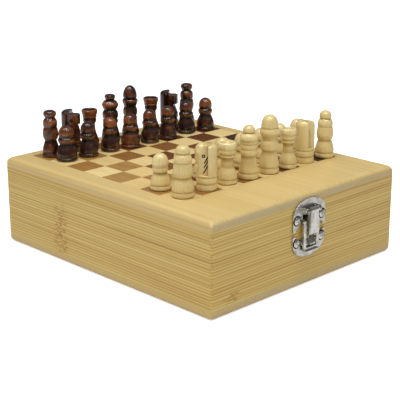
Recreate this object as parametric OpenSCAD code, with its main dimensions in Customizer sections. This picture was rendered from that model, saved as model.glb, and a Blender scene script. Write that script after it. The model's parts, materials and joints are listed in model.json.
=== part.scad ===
// A bamboo box whose hinged lid is a chess board, with its 32 turned pieces.
// Origin: middle of the underside. +X runs along the clasp side, +Y to the hinges, +Z up.

/* [Board] */
// Side of one square of the board
square = 15; // [13.5:0.5:20]
// Gap between neighbouring inlaid squares
tile_gap = 0.1; // [0.05:0.05:0.3]
// Gap around the whole inlay
inlay_gap = 0.2; // [0.1:0.1:0.5]
// Thickness of the inlaid squares
tile_t = 2; // [1.5:0.5:3]
// Plain border left of the board
border_left = 12.5; // [10:0.5:30]
// Plain border right of the board
border_right = 8.5; // [8:0.5:30]
// Plain border in front of the board, on the clasp side
border_front = 34; // [10:0.5:50]
// Plain border behind the board, on the hinge side
border_back = 9; // [9:0.5:30]

/* [Box] */
// Height of the closed box
box_h = 49.5; // [46:0.5:80]
// Height of the lid, from the seam to its top
lid_h = 20; // [19.5:0.5:24]
// Thickness of the top and bottom panels
panel_t = 5; // [4:0.5:7]
// Thickness of the side walls
wall_t = 7; // [7:0.5:10]
// Rounding of the top edge
top_round = 3.2; // [1:0.1:3.6]
// Rounding of the bottom edge
foot_round = 2.6; // [1:0.1:3.6]
// Rounding of the upright corners
corner_round = 1.5; // [0.5:0.1:3]
// Open seam between the lid and the base
seam_gap = 0.3; // [0.2:0.1:0.5]

/* [Tray] */
// Height of the tray that holds the pieces
tray_h = 17; // [15:0.5:19]
// Floor of the tray
tray_floor = 3; // [2:0.5:4]
// Clearance around the tray
tray_gap = 0.4; // [0.2:0.1:1]
// Width of a trough for the tall pieces
long_trough = 33.5; // [32.5:0.5:34]
// Width of a trough for the pawns
pawn_trough = 20.5; // [20:0.5:21]
// Solid ends of the tray, beyond the troughs
tray_end = 6; // [4:0.5:12]
// Rounding of the trough corners
trough_round = 4; // [2:0.5:6]

/* [Hinges] */
// Length of a hinge
hinge_len = 22; // [18:1:28]
// Distance of a hinge's middle from the middle of the box
hinge_x = 40; // [30:1:46]
// Thickness of a hinge leaf
leaf_t = 0.8; // [0.6:0.1:1]
// Depth of a leaf in the wall, from the pin's axis
leaf_reach = 5.3; // [5:0.1:5.5]
// Outer diameter of the hinge barrel
barrel_d = 4; // [3.6:0.1:4.4]
// Diameter of the hinge pin
hinge_pin_d = 1.6; // [1.2:0.1:1.8]
// How far the pin's axis lies inside the back face
axis_inset = 1.2; // [1:0.1:1.4]
// Widest opening of the lid, in degrees
lid_stop = 100; // [92:1:105]

/* [Clasp] */
// Place of the clasp's middle along the front
clasp_x = -1.2; // [-20:0.1:20]
// Half the width of the clasp plates
plate_half_w = 12.4; // [11.8:0.1:13]
// Thickness of the clasp plates
plate_t = 0.9; // [0.7:0.1:1.1]
// Top of the upper plate above the seam
plate_top = 17.5; // [16.5:0.1:18]
// Bottom of the lower plate below the seam
plate_bottom = 13.5; // [12.5:0.1:16]
// Height of the pivot above the seam
pivot_v = 11.6; // [11.3:0.1:12]
// Gap between the hasp's rolled eye and the upper plate
eye_gap = 0.25; // [0.2:0.05:0.4]
// Diameter of the pivot pin
pivot_pin_d = 1.2; // [1:0.1:1.4]
// Outer diameter of the hasp's rolled eye
eye_d = 3.5; // [3.2:0.1:3.6]
// Thickness of the hasp's sheet
hasp_t = 0.9; // [0.7:0.1:1]
// Half the width of the hasp's frame
hasp_half_w = 6; // [5.8:0.1:6.2]
// Width of each arm beside the window
hasp_arm = 2; // [1.6:0.1:2.2]
// Half the width of the raised rib
rib_half_w = 3; // [2.8:0.1:3.1]
// Sideways distance of the clasp screws from the middle
clasp_screw_u = 9.6; // [9.4:0.1:9.8]
// Diameter of the clasp screw heads
clasp_head_d = 4.4; // [4:0.1:4.6]

/* [Pieces] */
// Diameter of the foot of a piece
foot_d = 11; // [10:0.1:11.4]
// Height of the foot ring
foot_h = 1.9; // [1.5:0.1:2.2]
// Height of a pawn's belly
pawn_belly_h = 6.4; // [5.5:0.1:7]
// Height of a pawn's collar
pawn_collar_h = 3.4; // [3:0.1:3.6]
// Height of a pawn's head
pawn_head_h = 7; // [6:0.1:7.5]
// Diameter of a pawn's head
pawn_head_d = 8.5; // [8:0.1:9]
// Height of a knight's two turned rings
knight_ring_h = 7.4; // [7:0.1:8]
// Height of a knight's carved part
knight_head_h = 16.4; // [15:0.1:17]
// Width across a knight's two flat cheeks
knight_cheeks = 8.4; // [7.5:0.1:9]

/* [Hidden] */
$fn = 64;
SIDE = 8;

board_side = SIDE * square;
box_w = border_left + board_side + border_right;
box_d = border_front + board_side + border_back;
seam_z = box_h - lid_h;
inner_w = box_w - 2 * wall_t;
inner_d = box_d - 2 * wall_t;
board_x = -box_w / 2 + border_left;
board_y = -box_d / 2 + border_front;
tray_w = inner_w - 2 * tray_gap;
tray_d = inner_d - 2 * tray_gap;
trough_len = tray_d - 2 * tray_end;
far = box_w + box_d;

// Hinge places, measured from the pin's axis at the seam.
axis_y = box_d / 2 - axis_inset;
barrel_room = 0.3;
pin_play = 0.04;
knuckle_gap = 0.25;
knuckle_len = hinge_len / 3;
leaf_back = barrel_d / 2 + barrel_room;
leaf_play = 0.1;
cut_over = 1;
bevel_deg = (lid_stop + 1) / 2;

// Small countersunk screws of the hinges.
hinge_screw_d = 1.6;
hinge_screw_head_d = 2.8;
hinge_screw_len = 7;
hinge_screw_pitch = 14;
hinge_screw_y = -(leaf_reach + leaf_back) / 2;
pilot_play = 0.02;
countersink_play = 0.03;

// Pan-head screws of the clasp.
clasp_screw_d = 1.8;
clasp_screw_len = 5.5;
clasp_head_h = 0.9;
clasp_hole_play = 0.15;
slot_w = 0.5;
slot_len = 2.9;
slot_depth = 0.35;
upper_screw_v = 7.2;
lower_screw_v = -4.7;

// Clasp outlines: u runs along the box, v up from the seam, w out from the front face.
plate_straight_top = 9.5;
plate_straight_bottom = -5.5;
upper_ear_v = 1.3;
lower_ear_v = -1.0;
notch_half_w = 10.8;
upper_notch_h = 6;
lower_notch_h = 4.8;
lug_w = 1.8;
lug_gap = 0.25;
eye_half_w = 3.2;
hasp_gap = 0.7;
shoulder_v = 6.4;
window_top = -2.6;
window_bottom = -8.2;
hasp_bottom = -10.4;
lip_w = 1.3;
rib_proud = 1.5;
rib_wall = 0.8;
rib_slope = 2;
nose_half_w = 2.2;
nose_top = -3.2;
nose_bottom = -6.6;
nose_proud = 1;
nose_foot = 0.6;
nose_land = 0.9;
lug_slim = 0.3;
pin_end = 0.3;
eye_room = 0.4;
pin_room = 0.05;

// The clasp's layers, one on the other from the front face outwards.
pivot_w = plate_t + eye_gap + eye_d / 2;
hasp_w = plate_t + hasp_gap;
nose_w = hasp_w + hasp_t + nose_proud;
rib_front = pivot_w + rib_proud;

// The order of the pieces from the left, as they are set up.
RANK = ["bishop", "knight", "rook", "queen", "king", "rook", "knight", "bishop"];
WING = ["left", "left", "left", "", "", "right", "right", "right"];

// How far each piece stands off the middle of its square, left to right, as set down by hand.
LIGHT_OFFICER_NUDGE = [
  [-0.5, -2], [1.5, -1.5], [2, -1], [1.5, -2.5], [2, -3], [1.5, -3.5], [1.5, -2.5], [2.5, -3.5]
];
DARK_OFFICER_NUDGE = [
  [-0.5, 0], [-0.5, 0.5], [-1.5, 1], [-1, 1], [-1, 0.5], [0, 0], [0, 0], [0, 0]
];
LIGHT_PAWN_NUDGE = [
  [0, 0], [0, 0], [0, 0], [0, 0], [0, 0], [0, 0], [0, 0], [0.5, 0]
];
DARK_PAWN_NUDGE = [
  [0.5, 2], [0, 1], [1, 1], [0, -0.5], [0, -0.5], [-1, -1], [1, 1], [0.5, -1]
];
LIGHT_KNIGHT_YAW = [150, 145];
DARK_KNIGHT_YAW = [300, 295];

bamboo = [0.76, 0.65, 0.40];
bamboo_top = [0.87, 0.77, 0.53];
bamboo_side = [0.70, 0.58, 0.33];
pale_wood = [0.86, 0.77, 0.54];
stained_wood = [0.44, 0.26, 0.12];
boxwood = [0.90, 0.80, 0.55];
dark_stain = [0.24, 0.09, 0.06];
brass_plated = [0.80, 0.66, 0.34];
nickel = [0.78, 0.77, 0.76];
steel = [0.55, 0.55, 0.56];

// ---------------------------------------------------------------- panels and walls

// Plan of the box with eased corners.
module box_plan() {
  square([box_w - 2 * corner_round, box_d], center = true);
  square([box_w, box_d - 2 * corner_round], center = true);
  for (sx = [-1, 1], sy = [-1, 1])
    translate([sx * (box_w / 2 - corner_round), sy * (box_d / 2 - corner_round)])
      circle(corner_round);
}

// Upright section of a panel, w wide and panel_t high, with its two upper corners rounded.
module eased_section(w, r) {
  translate([-w / 2, 0]) square([w, panel_t - r]);
  translate([-w / 2 + r, 0]) square([w - 2 * r, panel_t]);
  for (s = [-1, 1])
    translate([s * (w / 2 - r), panel_t - r]) circle(r);
}

// A panel of the box's plan with its upper edge rounded on all four sides.
module eased_panel(r) {
  intersection() {
    linear_extrude(panel_t) box_plan();
    rotate([90, 0, 0]) linear_extrude(far, center = true) eased_section(box_w, r);
    rotate([90, 0, 90]) linear_extrude(far, center = true) eased_section(box_d, r);
  }
}

module base_bottom_panel() {
  color(bamboo) translate([0, 0, panel_t]) mirror([0, 0, 1]) eased_panel(foot_round);
}

module lid_top_panel() {
  color(bamboo_top) difference() {
    translate([0, 0, box_h - panel_t]) eased_panel(top_round);
    translate([board_x - inlay_gap, board_y - inlay_gap, box_h - tile_t])
      cube([board_side + 2 * inlay_gap, board_side + 2 * inlay_gap, tile_t + cut_over]);
  }
}

// Plan of one mitred wall of the box whose plan is w by d, on its front side.
module mitred_plan(w, d) {
  polygon([[-w / 2, -d / 2], [w / 2, -d / 2],
           [w / 2 - wall_t, -d / 2 + wall_t], [-w / 2 + wall_t, -d / 2 + wall_t]]);
}

// One wall from z0 to z1, turned to the side that turn names: 0 front, 90 right, 180 back, 270 left.
module wall(turn, z0, z1) {
  across = turn % 180 == 0;
  translate([0, 0, z0]) linear_extrude(z1 - z0) intersection() {
    box_plan();
    rotate(turn) mitred_plan(across ? box_w : box_d, across ? box_d : box_w);
  }
}

// Wedge that is planed off behind the pin's axis, so that lid and base meet at the lid's stop.
// side is 1 on the lid and -1 on the base.
module stop_bevel(side) {
  run = axis_inset + cut_over;
  translate([0, axis_y, seam_z]) rotate([90, 0, 90]) linear_extrude(far, center = true)
    polygon([[0, 0], [run, side * run * tan(bevel_deg)], [run, -side], [0, -side]]);
}

// Room for the barrels and leaves of both hinges. side is 1 in the lid and -1 in the base.
module hinge_rebates(side) {
  leaf_z = side > 0 ? seam_gap / 2 - cut_over : -seam_gap / 2 - leaf_t;
  for (s = [-1, 1]) translate([s * hinge_x, axis_y, seam_z]) {
    rotate([0, 90, 0])
      cylinder(h = hinge_len + 2 * barrel_room, d = barrel_d + 2 * barrel_room, center = true);
    translate([-hinge_len / 2 - leaf_play, -leaf_reach - leaf_play, leaf_z])
      cube([hinge_len + 2 * leaf_play, leaf_reach, leaf_t + cut_over]);
  }
}

// Pilot bores of the hinge screws, going away from the seam.
module hinge_pilots(side) {
  hinge_screw_places(side)
    cylinder(h = hinge_screw_len, d = hinge_screw_d + 2 * pilot_play);
}

// Pilot bores of a pair of clasp screws.
module clasp_pilots(v) {
  clasp_screw_places(v)
    cylinder(h = clasp_screw_len, d = clasp_screw_d + 2 * pilot_play);
}

module base_wall(turn) {
  wall(turn, panel_t, seam_z - seam_gap / 2);
}

module lid_rail(turn) {
  wall(turn, seam_z + seam_gap / 2, box_h - panel_t);
}

module base_front_wall() {
  color(bamboo_side) difference() {
    base_wall(0);
    clasp_pilots(lower_screw_v);
  }
}

module base_back_wall() {
  color(bamboo_side) difference() {
    base_wall(180);
    stop_bevel(-1);
    hinge_rebates(-1);
    hinge_pilots(-1);
  }
}

module base_left_wall() {
  color(bamboo) difference() {
    base_wall(270);
    stop_bevel(-1);
  }
}

module base_right_wall() {
  color(bamboo) difference() {
    base_wall(90);
    stop_bevel(-1);
  }
}

module lid_front_rail() {
  color(bamboo_side) difference() {
    lid_rail(0);
    clasp_pilots(upper_screw_v);
  }
}

module lid_back_rail() {
  color(bamboo_side) difference() {
    lid_rail(180);
    stop_bevel(1);
    hinge_rebates(1);
    hinge_pilots(1);
  }
}

module lid_left_rail() {
  color(bamboo) difference() {
    lid_rail(270);
    stop_bevel(1);
  }
}

module lid_right_rail() {
  color(bamboo) difference() {
    lid_rail(90);
    stop_bevel(1);
  }
}

// ---------------------------------------------------------------- board and tray

// The inlaid squares of one colour: shade is 0 for the light ones and 1 for the dark ones.
module squares_of(shade) {
  side = square - tile_gap;
  for (i = [0 : SIDE - 1], j = [0 : SIDE - 1])
    if ((i + j) % 2 == shade)
      translate([board_x + i * square, board_y + j * square, box_h - tile_t])
        translate([tile_gap / 2, tile_gap / 2, 0])
          cube([side, side, tile_t]);
}

module light_squares() {
  color(pale_wood) squares_of(0);
}

module dark_squares() {
  color(stained_wood) squares_of(1);
}

// Plan of one trough, with round corners.
module trough_plan(w) {
  square([w - 2 * trough_round, trough_len], center = true);
  square([w, trough_len - 2 * trough_round], center = true);
  for (sx = [-1, 1], sy = [-1, 1])
    translate([sx * (w / 2 - trough_round), sy * (trough_len / 2 - trough_round)])
      circle(trough_round);
}

// Four troughs side by side: tall pieces, pawns, pawns, tall pieces.
module piece_tray() {
  rib = (tray_w - 2 * long_trough - 2 * pawn_trough) / 5;
  pawn_x = rib / 2 + pawn_trough / 2;
  long_x = rib * 1.5 + pawn_trough + long_trough / 2;
  color(bamboo) difference() {
    translate([-tray_w / 2, -tray_d / 2, panel_t]) cube([tray_w, tray_d, tray_h]);
    for (s = [-1, 1]) translate([0, 0, panel_t + tray_floor]) {
      translate([s * pawn_x, 0]) linear_extrude(tray_h) trough_plan(pawn_trough);
      translate([s * long_x, 0]) linear_extrude(tray_h) trough_plan(long_trough);
    }
  }
}

// ---------------------------------------------------------------- hinges

// One knuckle from x0 to x1 of the hinge, solid.
module knuckle(x0, x1) {
  translate([x0, 0, 0]) rotate([0, 90, 0]) cylinder(h = x1 - x0, d = barrel_d);
}

// One leaf with its knuckles. side is 1 for the lid's leaf and -1 for the base's. The base's leaf has
// the two end knuckles, the lid's leaf the middle one.
module hinge_leaf(side, bore_d) {
  z0 = side > 0 ? seam_gap / 2 : -seam_gap / 2 - leaf_t;
  half = hinge_len / 2;
  inner = knuckle_len / 2;
  spans = side > 0 ? [[-inner + knuckle_gap, inner - knuckle_gap]] : [[-half, -inner], [inner, half]];
  difference() {
    union() {
      translate([-half, -leaf_reach, z0]) cube([hinge_len, leaf_reach - leaf_back, leaf_t]);
      for (span = spans) {
        knuckle(span[0], span[1]);
        translate([span[0], -leaf_back - cut_over, z0])
          cube([span[1] - span[0], leaf_back + cut_over - hinge_pin_d / 2, leaf_t]);
      }
    }
    rotate([0, 90, 0]) cylinder(h = hinge_len + 2 * cut_over, d = bore_d, center = true);
    for (s = [-1, 1])
      translate([s * hinge_screw_pitch / 2, hinge_screw_y, z0 + (side > 0 ? 0 : leaf_t)])
        mirror([0, 0, side > 0 ? 0 : 1]) countersink();
  }
}

// The hole for a countersunk hinge screw, wider than its head by the play all round.
module countersink() {
  skin = 0.01;
  translate([0, 0, -skin])
    cylinder(h = leaf_t + 2 * skin, d1 = hinge_screw_head_d + 2 * countersink_play,
             d2 = hinge_screw_d + 2 * countersink_play);
}

// Places of the four hinge screws on one side of the seam, pointing away from it.
module hinge_screw_places(side) {
  for (s = [-1, 1], p = [-1, 1])
    translate([s * hinge_x + p * hinge_screw_pitch / 2, axis_y + hinge_screw_y, seam_z])
      translate([0, 0, side * seam_gap / 2]) mirror([0, 0, side > 0 ? 0 : 1]) children();
}

module hinge_screws(side) {
  hinge_screw_places(side) {
    cylinder(h = leaf_t, d1 = hinge_screw_head_d, d2 = hinge_screw_d);
    cylinder(h = hinge_screw_len, d = hinge_screw_d);
  }
}

// Puts a hinge's part at the left or the right hinge: s is -1 or 1.
module at_hinge(s) {
  translate([s * hinge_x, axis_y, seam_z]) children();
}

module base_leaf(s) {
  color(brass_plated) at_hinge(s) hinge_leaf(-1, hinge_pin_d + pin_play / 2);
}

module lid_leaf(s) {
  color(brass_plated) at_hinge(s) hinge_leaf(1, hinge_pin_d + 2 * pin_play);
}

module hinge_pin(s) {
  color(steel) at_hinge(s) rotate([0, 90, 0]) cylinder(h = hinge_len, d = hinge_pin_d, center = true);
}

// ---------------------------------------------------------------- clasp

// Turns the clasp's own axes (u, v, w) to the box's: u along X, v up, w out of the front face.
module on_front() {
  translate([clasp_x, -box_d / 2, seam_z]) rotate([90, 0, 0]) children();
}

// Points of an arch from the left to the right: half width a, height h, standing on v0.
function arch(a, v0, h, n = 24) =
  [for (k = [0 : n]) let (t = 180 - 180 * k / n) [a * cos(t), v0 + h * sin(t)]];

function reversed(points) = [for (k = [len(points) - 1 : -1 : 0]) points[k]];

// A clasp plate: straight sides, an arched end, and a wide arched notch that leaves two ears.
module plate_outline(straight, end, ear, notch) {
  outer = arch(plate_half_w, straight, end - straight);
  inner = [for (p = arch(notch_half_w, 0, notch)) if (p[1] / ear > 1) p];
  ear_u = notch_half_w * sqrt(1 - pow(ear / notch, 2));
  polygon(concat([[-plate_half_w, ear]], outer, [[plate_half_w, ear], [ear_u, ear]],
                 reversed(inner), [[-ear_u, ear]]));
}

// Places of one pair of clasp screws, pointing into the wood from the front face.
module clasp_screw_places(v) {
  on_front() for (s = [-1, 1])
    translate([s * clasp_screw_u, v, 0]) mirror([0, 0, 1]) children();
}

module clasp_screw_holes(v) {
  for (s = [-1, 1])
    translate([s * clasp_screw_u, v, -cut_over])
      cylinder(h = plate_t + 2 * cut_over, d = clasp_screw_d + 2 * clasp_hole_play);
}

// A pan-head screw with a crossed slot, its head on the plate.
module clasp_screw() {
  cylinder(h = clasp_screw_len, d = clasp_screw_d);
  mirror([0, 0, 1]) difference() {
    union() {
      cylinder(h = plate_t + clasp_head_h / 2, d = clasp_screw_d);
      translate([0, 0, plate_t]) rotate_extrude() intersection() {
        square([clasp_head_d / 2, clasp_head_h]);
        translate([0, clasp_head_h - clasp_head_d]) circle(clasp_head_d);
      }
    }
    translate([0, 0, plate_t + clasp_head_h - slot_depth]) for (turn = [0, 90])
      rotate(turn) translate([-slot_len / 2, -slot_w / 2, 0]) cube([slot_len, slot_w, cut_over]);
  }
}

module clasp_screws(v) {
  color(nickel) clasp_screw_places(v) clasp_screw();
}

// The fixed plate on the lid, with two lugs that hold the pivot pin.
module clasp_upper_plate() {
  lug_u = eye_half_w + lug_gap;
  lug_d = eye_d - lug_slim;
  color(nickel) on_front() difference() {
    union() {
      linear_extrude(plate_t) plate_outline(plate_straight_top, plate_top, upper_ear_v, upper_notch_h);
      for (s = [-1, 1]) translate([s * (lug_u + lug_w / 2), pivot_v, 0]) {
        translate([0, 0, pivot_w]) rotate([0, 90, 0]) cylinder(h = lug_w, d = lug_d, center = true);
        translate([-lug_w / 2, -lug_d / 2, plate_t / 2]) cube([lug_w, lug_d, pivot_w - plate_t / 2]);
      }
    }
    translate([0, pivot_v, pivot_w]) rotate([0, 90, 0]) cylinder(h = far, d = pivot_pin_d, center = true);
    clasp_screw_holes(upper_screw_v);
  }
}

module clasp_pin() {
  color(nickel) on_front() translate([0, pivot_v, pivot_w]) rotate([0, 90, 0])
    cylinder(h = 2 * (eye_half_w + lug_gap + lug_w + pin_end), d = pivot_pin_d, center = true);
}

// The fixed plate on the base, with the raised nose that the hasp snaps over.
module clasp_lower_plate() {
  color(nickel) on_front() difference() {
    union() {
      linear_extrude(plate_t)
        plate_outline(plate_straight_bottom, -plate_bottom, lower_ear_v, -lower_notch_h);
      translate([-nose_half_w, 0, 0]) rotate([90, 0, 90]) linear_extrude(2 * nose_half_w)
        polygon([[nose_top, 0], [nose_top, plate_t + nose_foot], [nose_bottom + nose_land, nose_w],
                 [nose_bottom, nose_w], [nose_bottom, 0]]);
    }
    clasp_screw_holes(lower_screw_v);
  }
}

// Section of the raised rib, from its slope at the window up to the eye.
module rib_section() {
  polygon([[window_top, hasp_w + hasp_t / 2], [window_top + rib_slope, rib_front],
           [pivot_v, rib_front], [pivot_v, hasp_w + hasp_t / 2]]);
}

// The hollow behind the rib, as deep as leaves the rib's wall.
module rib_hollow() {
  back = hasp_w - cut_over;
  intersection() {
    translate([-rib_half_w + rib_wall, -far / 2, back])
      cube([2 * (rib_half_w - rib_wall), far / 2 + pivot_v - eye_d / 2 - eye_room, far]);
    translate([-far / 2, 0, 0]) rotate([90, 0, 90]) linear_extrude(far)
      polygon([[window_top - cut_over, back], [window_top - cut_over, hasp_w + hasp_t],
               [window_top + rib_slope, rib_front - rib_wall], [pivot_v, rib_front - rib_wall],
               [pivot_v, back]]);
  }
}

// The swinging hasp: a rolled eye, a raised rib, and a frame whose window takes the nose.
module clasp_hasp() {
  color(nickel) on_front() difference() {
    union() {
      translate([0, pivot_v, pivot_w]) rotate([0, 90, 0])
        cylinder(h = 2 * eye_half_w, d = eye_d, center = true);
      translate([-hasp_half_w, hasp_bottom, hasp_w])
        cube([2 * hasp_half_w, shoulder_v - hasp_bottom, hasp_t]);
      translate([-rib_half_w, 0, 0]) rotate([90, 0, 90]) linear_extrude(2 * rib_half_w) rib_section();
      translate([-hasp_half_w, hasp_bottom, hasp_w]) cube([2 * hasp_half_w, hasp_t, hasp_t + lip_w]);
    }
    translate([0, pivot_v, pivot_w]) rotate([0, 90, 0])
      cylinder(h = far, d = pivot_pin_d + 2 * pin_room, center = true);
    translate([-hasp_half_w + hasp_arm, window_bottom, hasp_w - cut_over])
      cube([2 * (hasp_half_w - hasp_arm), window_top - window_bottom, hasp_t + 1.01 * cut_over]);
    rib_hollow();
  }
}

// ---------------------------------------------------------------- turned pieces

// Points of an ellipse's arc about (r, z), half axes a and b, from angle a0 to a1.
function bow(r, z, a, b, a0, a1, n = 6) =
  [for (k = [0 : n]) let (t = a0 + (a1 - a0) * k / n) [r + a * cos(t), z + b * sin(t)]];

// A ring from z0 to z1 that swells from radius r0 to r1.
function bead(z0, z1, r0, r1) = bow(r0, (z0 + z1) / 2, r1 - r0, (z1 - z0) / 2, -90, 90, 6);

// A belly from radius r0 at z0, widest with rm at zm, drawn in to r1 at z1.
function belly(z0, z1, r0, rm, r1, zm) = concat(
  [for (k = [0 : 2]) let (t = 90 * k / 3) [r0 + (rm - r0) * sin(t), z0 + (zm - z0) * k / 3]],
  [for (k = [0 : 6]) let (t = 180 * k / 6) [r1 + (rm - r1) * (1 + cos(t)) / 2, zm + (z1 - zm) * k / 6]]
);

foot_r = foot_d / 2;
foot_ring = bead(0, foot_h, foot_r - 0.5, foot_r);

// Outline of a pawn: foot, belly, collar and a round head.
pawn_waist = foot_h + pawn_belly_h;
pawn_neck = pawn_waist + pawn_collar_h;
PAWN = concat(
  foot_ring,
  belly(foot_h, pawn_waist, foot_r - 0.7, foot_r - 0.1, 3.5, foot_h + 1.8),
  bead(pawn_waist + 0.1, pawn_neck - 0.2, 3.6, 4.3),
  [[3.5, pawn_neck]],
  bow(0, pawn_neck + pawn_head_h - 3.9, pawn_head_d / 2, 3.9, -35, 90, 9)
);

// Outline of a bishop: belly, tapered drum, ring, coned shoulder and a button on top.
BISHOP = concat(
  foot_ring,
  belly(foot_h, 8.6, foot_r - 0.5, foot_r + 0.05, 3.3, 3.1),
  [[3.4, 8.8], [4.4, 10], [4.7, 11.6], [4.4, 13.8], [3.7, 14.1]],
  bead(14.3, 16.4, 3.7, 4.1),
  [[3.8, 16.6]],
  bow(3.2, 18, 1.1, 1.3, -60, 60, 4),
  [[3.0, 20.5], [2.7, 20.9]],
  bow(0.2, 23.6, 3.4, 2.7, -50, 90, 8)
);

// Outline of a rook: belly, straight neck, two rings and a dished cup.
ROOK = concat(
  foot_ring,
  belly(foot_h, 9.2, foot_r - 0.6, foot_r - 0.3, 3.2, 3.1),
  [[3.2, 12.4]],
  bead(12.7, 15.8, 3.5, 4.15),
  [[3.8, 16.3], [3.7, 16.9], [4.4, 17.8]],
  bead(18, 21.9, 4.4, 4.75),
  [[3.2, 21.9], [2.6, 19.9], [0, 19.7]]
);

// Outline of a queen: bell body, wide flange, ring, onion shoulder and a ball.
QUEEN = concat(
  foot_ring,
  belly(foot_h, 11.9, foot_r - 0.4, foot_r, 4.0, 3.4),
  bead(12.1, 14.9, 4.1, 5.4),
  bead(15.1, 17.2, 4.1, 4.7),
  belly(17.4, 24.3, 4.2, 5.0, 2.5, 20),
  bow(0, 26.3, 3.3, 2.25, -40, 90, 8)
);

// Outline of a king: body, drum, flaring cup and a tall dome.
KING = concat(
  foot_ring,
  belly(foot_h, 11.7, foot_r - 0.6, foot_r - 0.3, 3.5, 3.6),
  bead(11.9, 17.5, 4.0, 4.4),
  [[3.7, 18.2], [4.1, 19.4], [4.7, 21.4]],
  bead(21.6, 23.2, 4.7, 5.1),
  [[3.8, 23.5], [4.6, 23.9]],
  bow(0, 24.9, 4.8, 6.7, 0, 90, 9)
);

// A piece turned on the lathe from its outline.
module turned(outline) {
  rotate_extrude() polygon(concat([[0, 0]], outline, [[0, outline[len(outline) - 1][1]]]));
}

// A knight: two turned rings below, and a stepped head carved with flat cheeks that looks along +X.
module knight() {
  top = knight_ring_h + knight_head_h;
  mid = knight_ring_h / 2;
  r = foot_r - 0.2;
  muzzle_top = top - 3;
  mouth = knight_ring_h + 7.2;
  step = 0.2;
  rotate_extrude() polygon(concat(
    [[0, 0]], bead(0, mid - 0.3, r - 0.3, r), [[r - 0.5, mid - 0.15]],
    bead(mid, knight_ring_h - 0.4, r - 0.3, r), [[r - 0.5, knight_ring_h - 0.2], [r - 0.2, knight_ring_h],
    [r - 0.2, knight_ring_h + 0.5], [0, knight_ring_h + 0.5]]));
  intersection() {
    translate([0, 0, knight_ring_h]) cylinder(h = knight_head_h, r = r);
    translate([-far / 2, -knight_cheeks / 2, 0]) cube([far, knight_cheeks, far]);
    rotate([90, 0, 0]) linear_extrude(far, center = true) polygon(concat(
      [[-r, knight_ring_h], [-r, top - 3]],
      [for (k = [1 : 6]) let (t = 180 - 90 * k / 6) [-r + 3 + 3 * cos(t), top - 3 + 3 * sin(t)]],
      [[step - 0.5, top - 0.4], [step, top - 1], [step, muzzle_top]],
      [[r - 0.6, muzzle_top - 0.2], [r, muzzle_top - 0.8], [r, mouth + 0.8], [r - 0.6, mouth]],
      [[2.4, mouth - 0.6], [2.6, mouth - 1.4], [r - 0.9, knight_ring_h + 3.4]],
      [[r, knight_ring_h + 1.2], [r, knight_ring_h]]));
  }
}

// The shape of an officer by its name.
module officer_shape(name) {
  if (name == "bishop") turned(BISHOP);
  if (name == "rook") turned(ROOK);
  if (name == "queen") turned(QUEEN);
  if (name == "king") turned(KING);
  if (name == "knight") knight();
}

// Puts a piece on the square of column i and row j, shifted by nudge.
module on_square(i, j, nudge) {
  translate([board_x + (i + 0.5) * square + nudge[0], board_y + (j + 0.5) * square + nudge[1], box_h])
    children();
}

module light_pawn(i) {
  color(boxwood) on_square(i, 1, LIGHT_PAWN_NUDGE[i]) turned(PAWN);
}

module dark_pawn(i) {
  color(dark_stain) on_square(i, SIDE - 2, DARK_PAWN_NUDGE[i]) turned(PAWN);
}

module light_officer(i) {
  color(boxwood) on_square(i, 0, LIGHT_OFFICER_NUDGE[i])
    rotate(LIGHT_KNIGHT_YAW[i < 4 ? 0 : 1]) officer_shape(RANK[i]);
}

module dark_officer(i) {
  color(dark_stain) on_square(i, SIDE - 1, DARK_OFFICER_NUDGE[i])
    rotate(DARK_KNIGHT_YAW[i < 4 ? 0 : 1]) officer_shape(RANK[i]);
}

// Node name of the officer in column i.
function officer_name(shade, i) = str(shade, "_", RANK[i], WING[i] == "" ? "" : "_", WING[i]);

// ---------------------------------------------------------------- nodes

base_bottom_panel();
base_front_wall();
base_back_wall();
base_left_wall();
base_right_wall();
lid_top_panel();
lid_front_rail();
lid_back_rail();
lid_left_rail();
lid_right_rail();
light_squares();
dark_squares();
piece_tray();
base_leaf(-1);  // hinge_left_base_leaf
lid_leaf(-1);  // hinge_left_lid_leaf
hinge_pin(-1);  // hinge_left_pin
base_leaf(1);  // hinge_right_base_leaf
lid_leaf(1);  // hinge_right_lid_leaf
hinge_pin(1);  // hinge_right_pin
color(brass_plated) hinge_screws(-1);  // hinge_base_screws
color(brass_plated) hinge_screws(1);  // hinge_lid_screws
clasp_upper_plate();
clasp_lower_plate();
clasp_hasp();
clasp_pin();
clasp_screws(upper_screw_v);  // clasp_upper_screws
clasp_screws(lower_screw_v);  // clasp_lower_screws
for (i = [0 : SIDE - 1]) {
  light_pawn(i);
  dark_pawn(i);
  light_officer(i);
  dark_officer(i);
}
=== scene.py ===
"""Looks of a bamboo box whose hinged lid is a chess board, with its clasp and 32 turned pieces.

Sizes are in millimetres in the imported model's own frame: the origin is the middle of the underside,
+X runs along the clasp side, +Y to the hinges and +Z up. Blender itself works in metres.
"""

import json
import logging
import math
import random
from collections.abc import Callable, Iterator, Sequence
from contextlib import contextmanager
from dataclasses import dataclass, field
from enum import Enum

import bmesh
import bpy
from mathutils import Matrix, Vector


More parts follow.
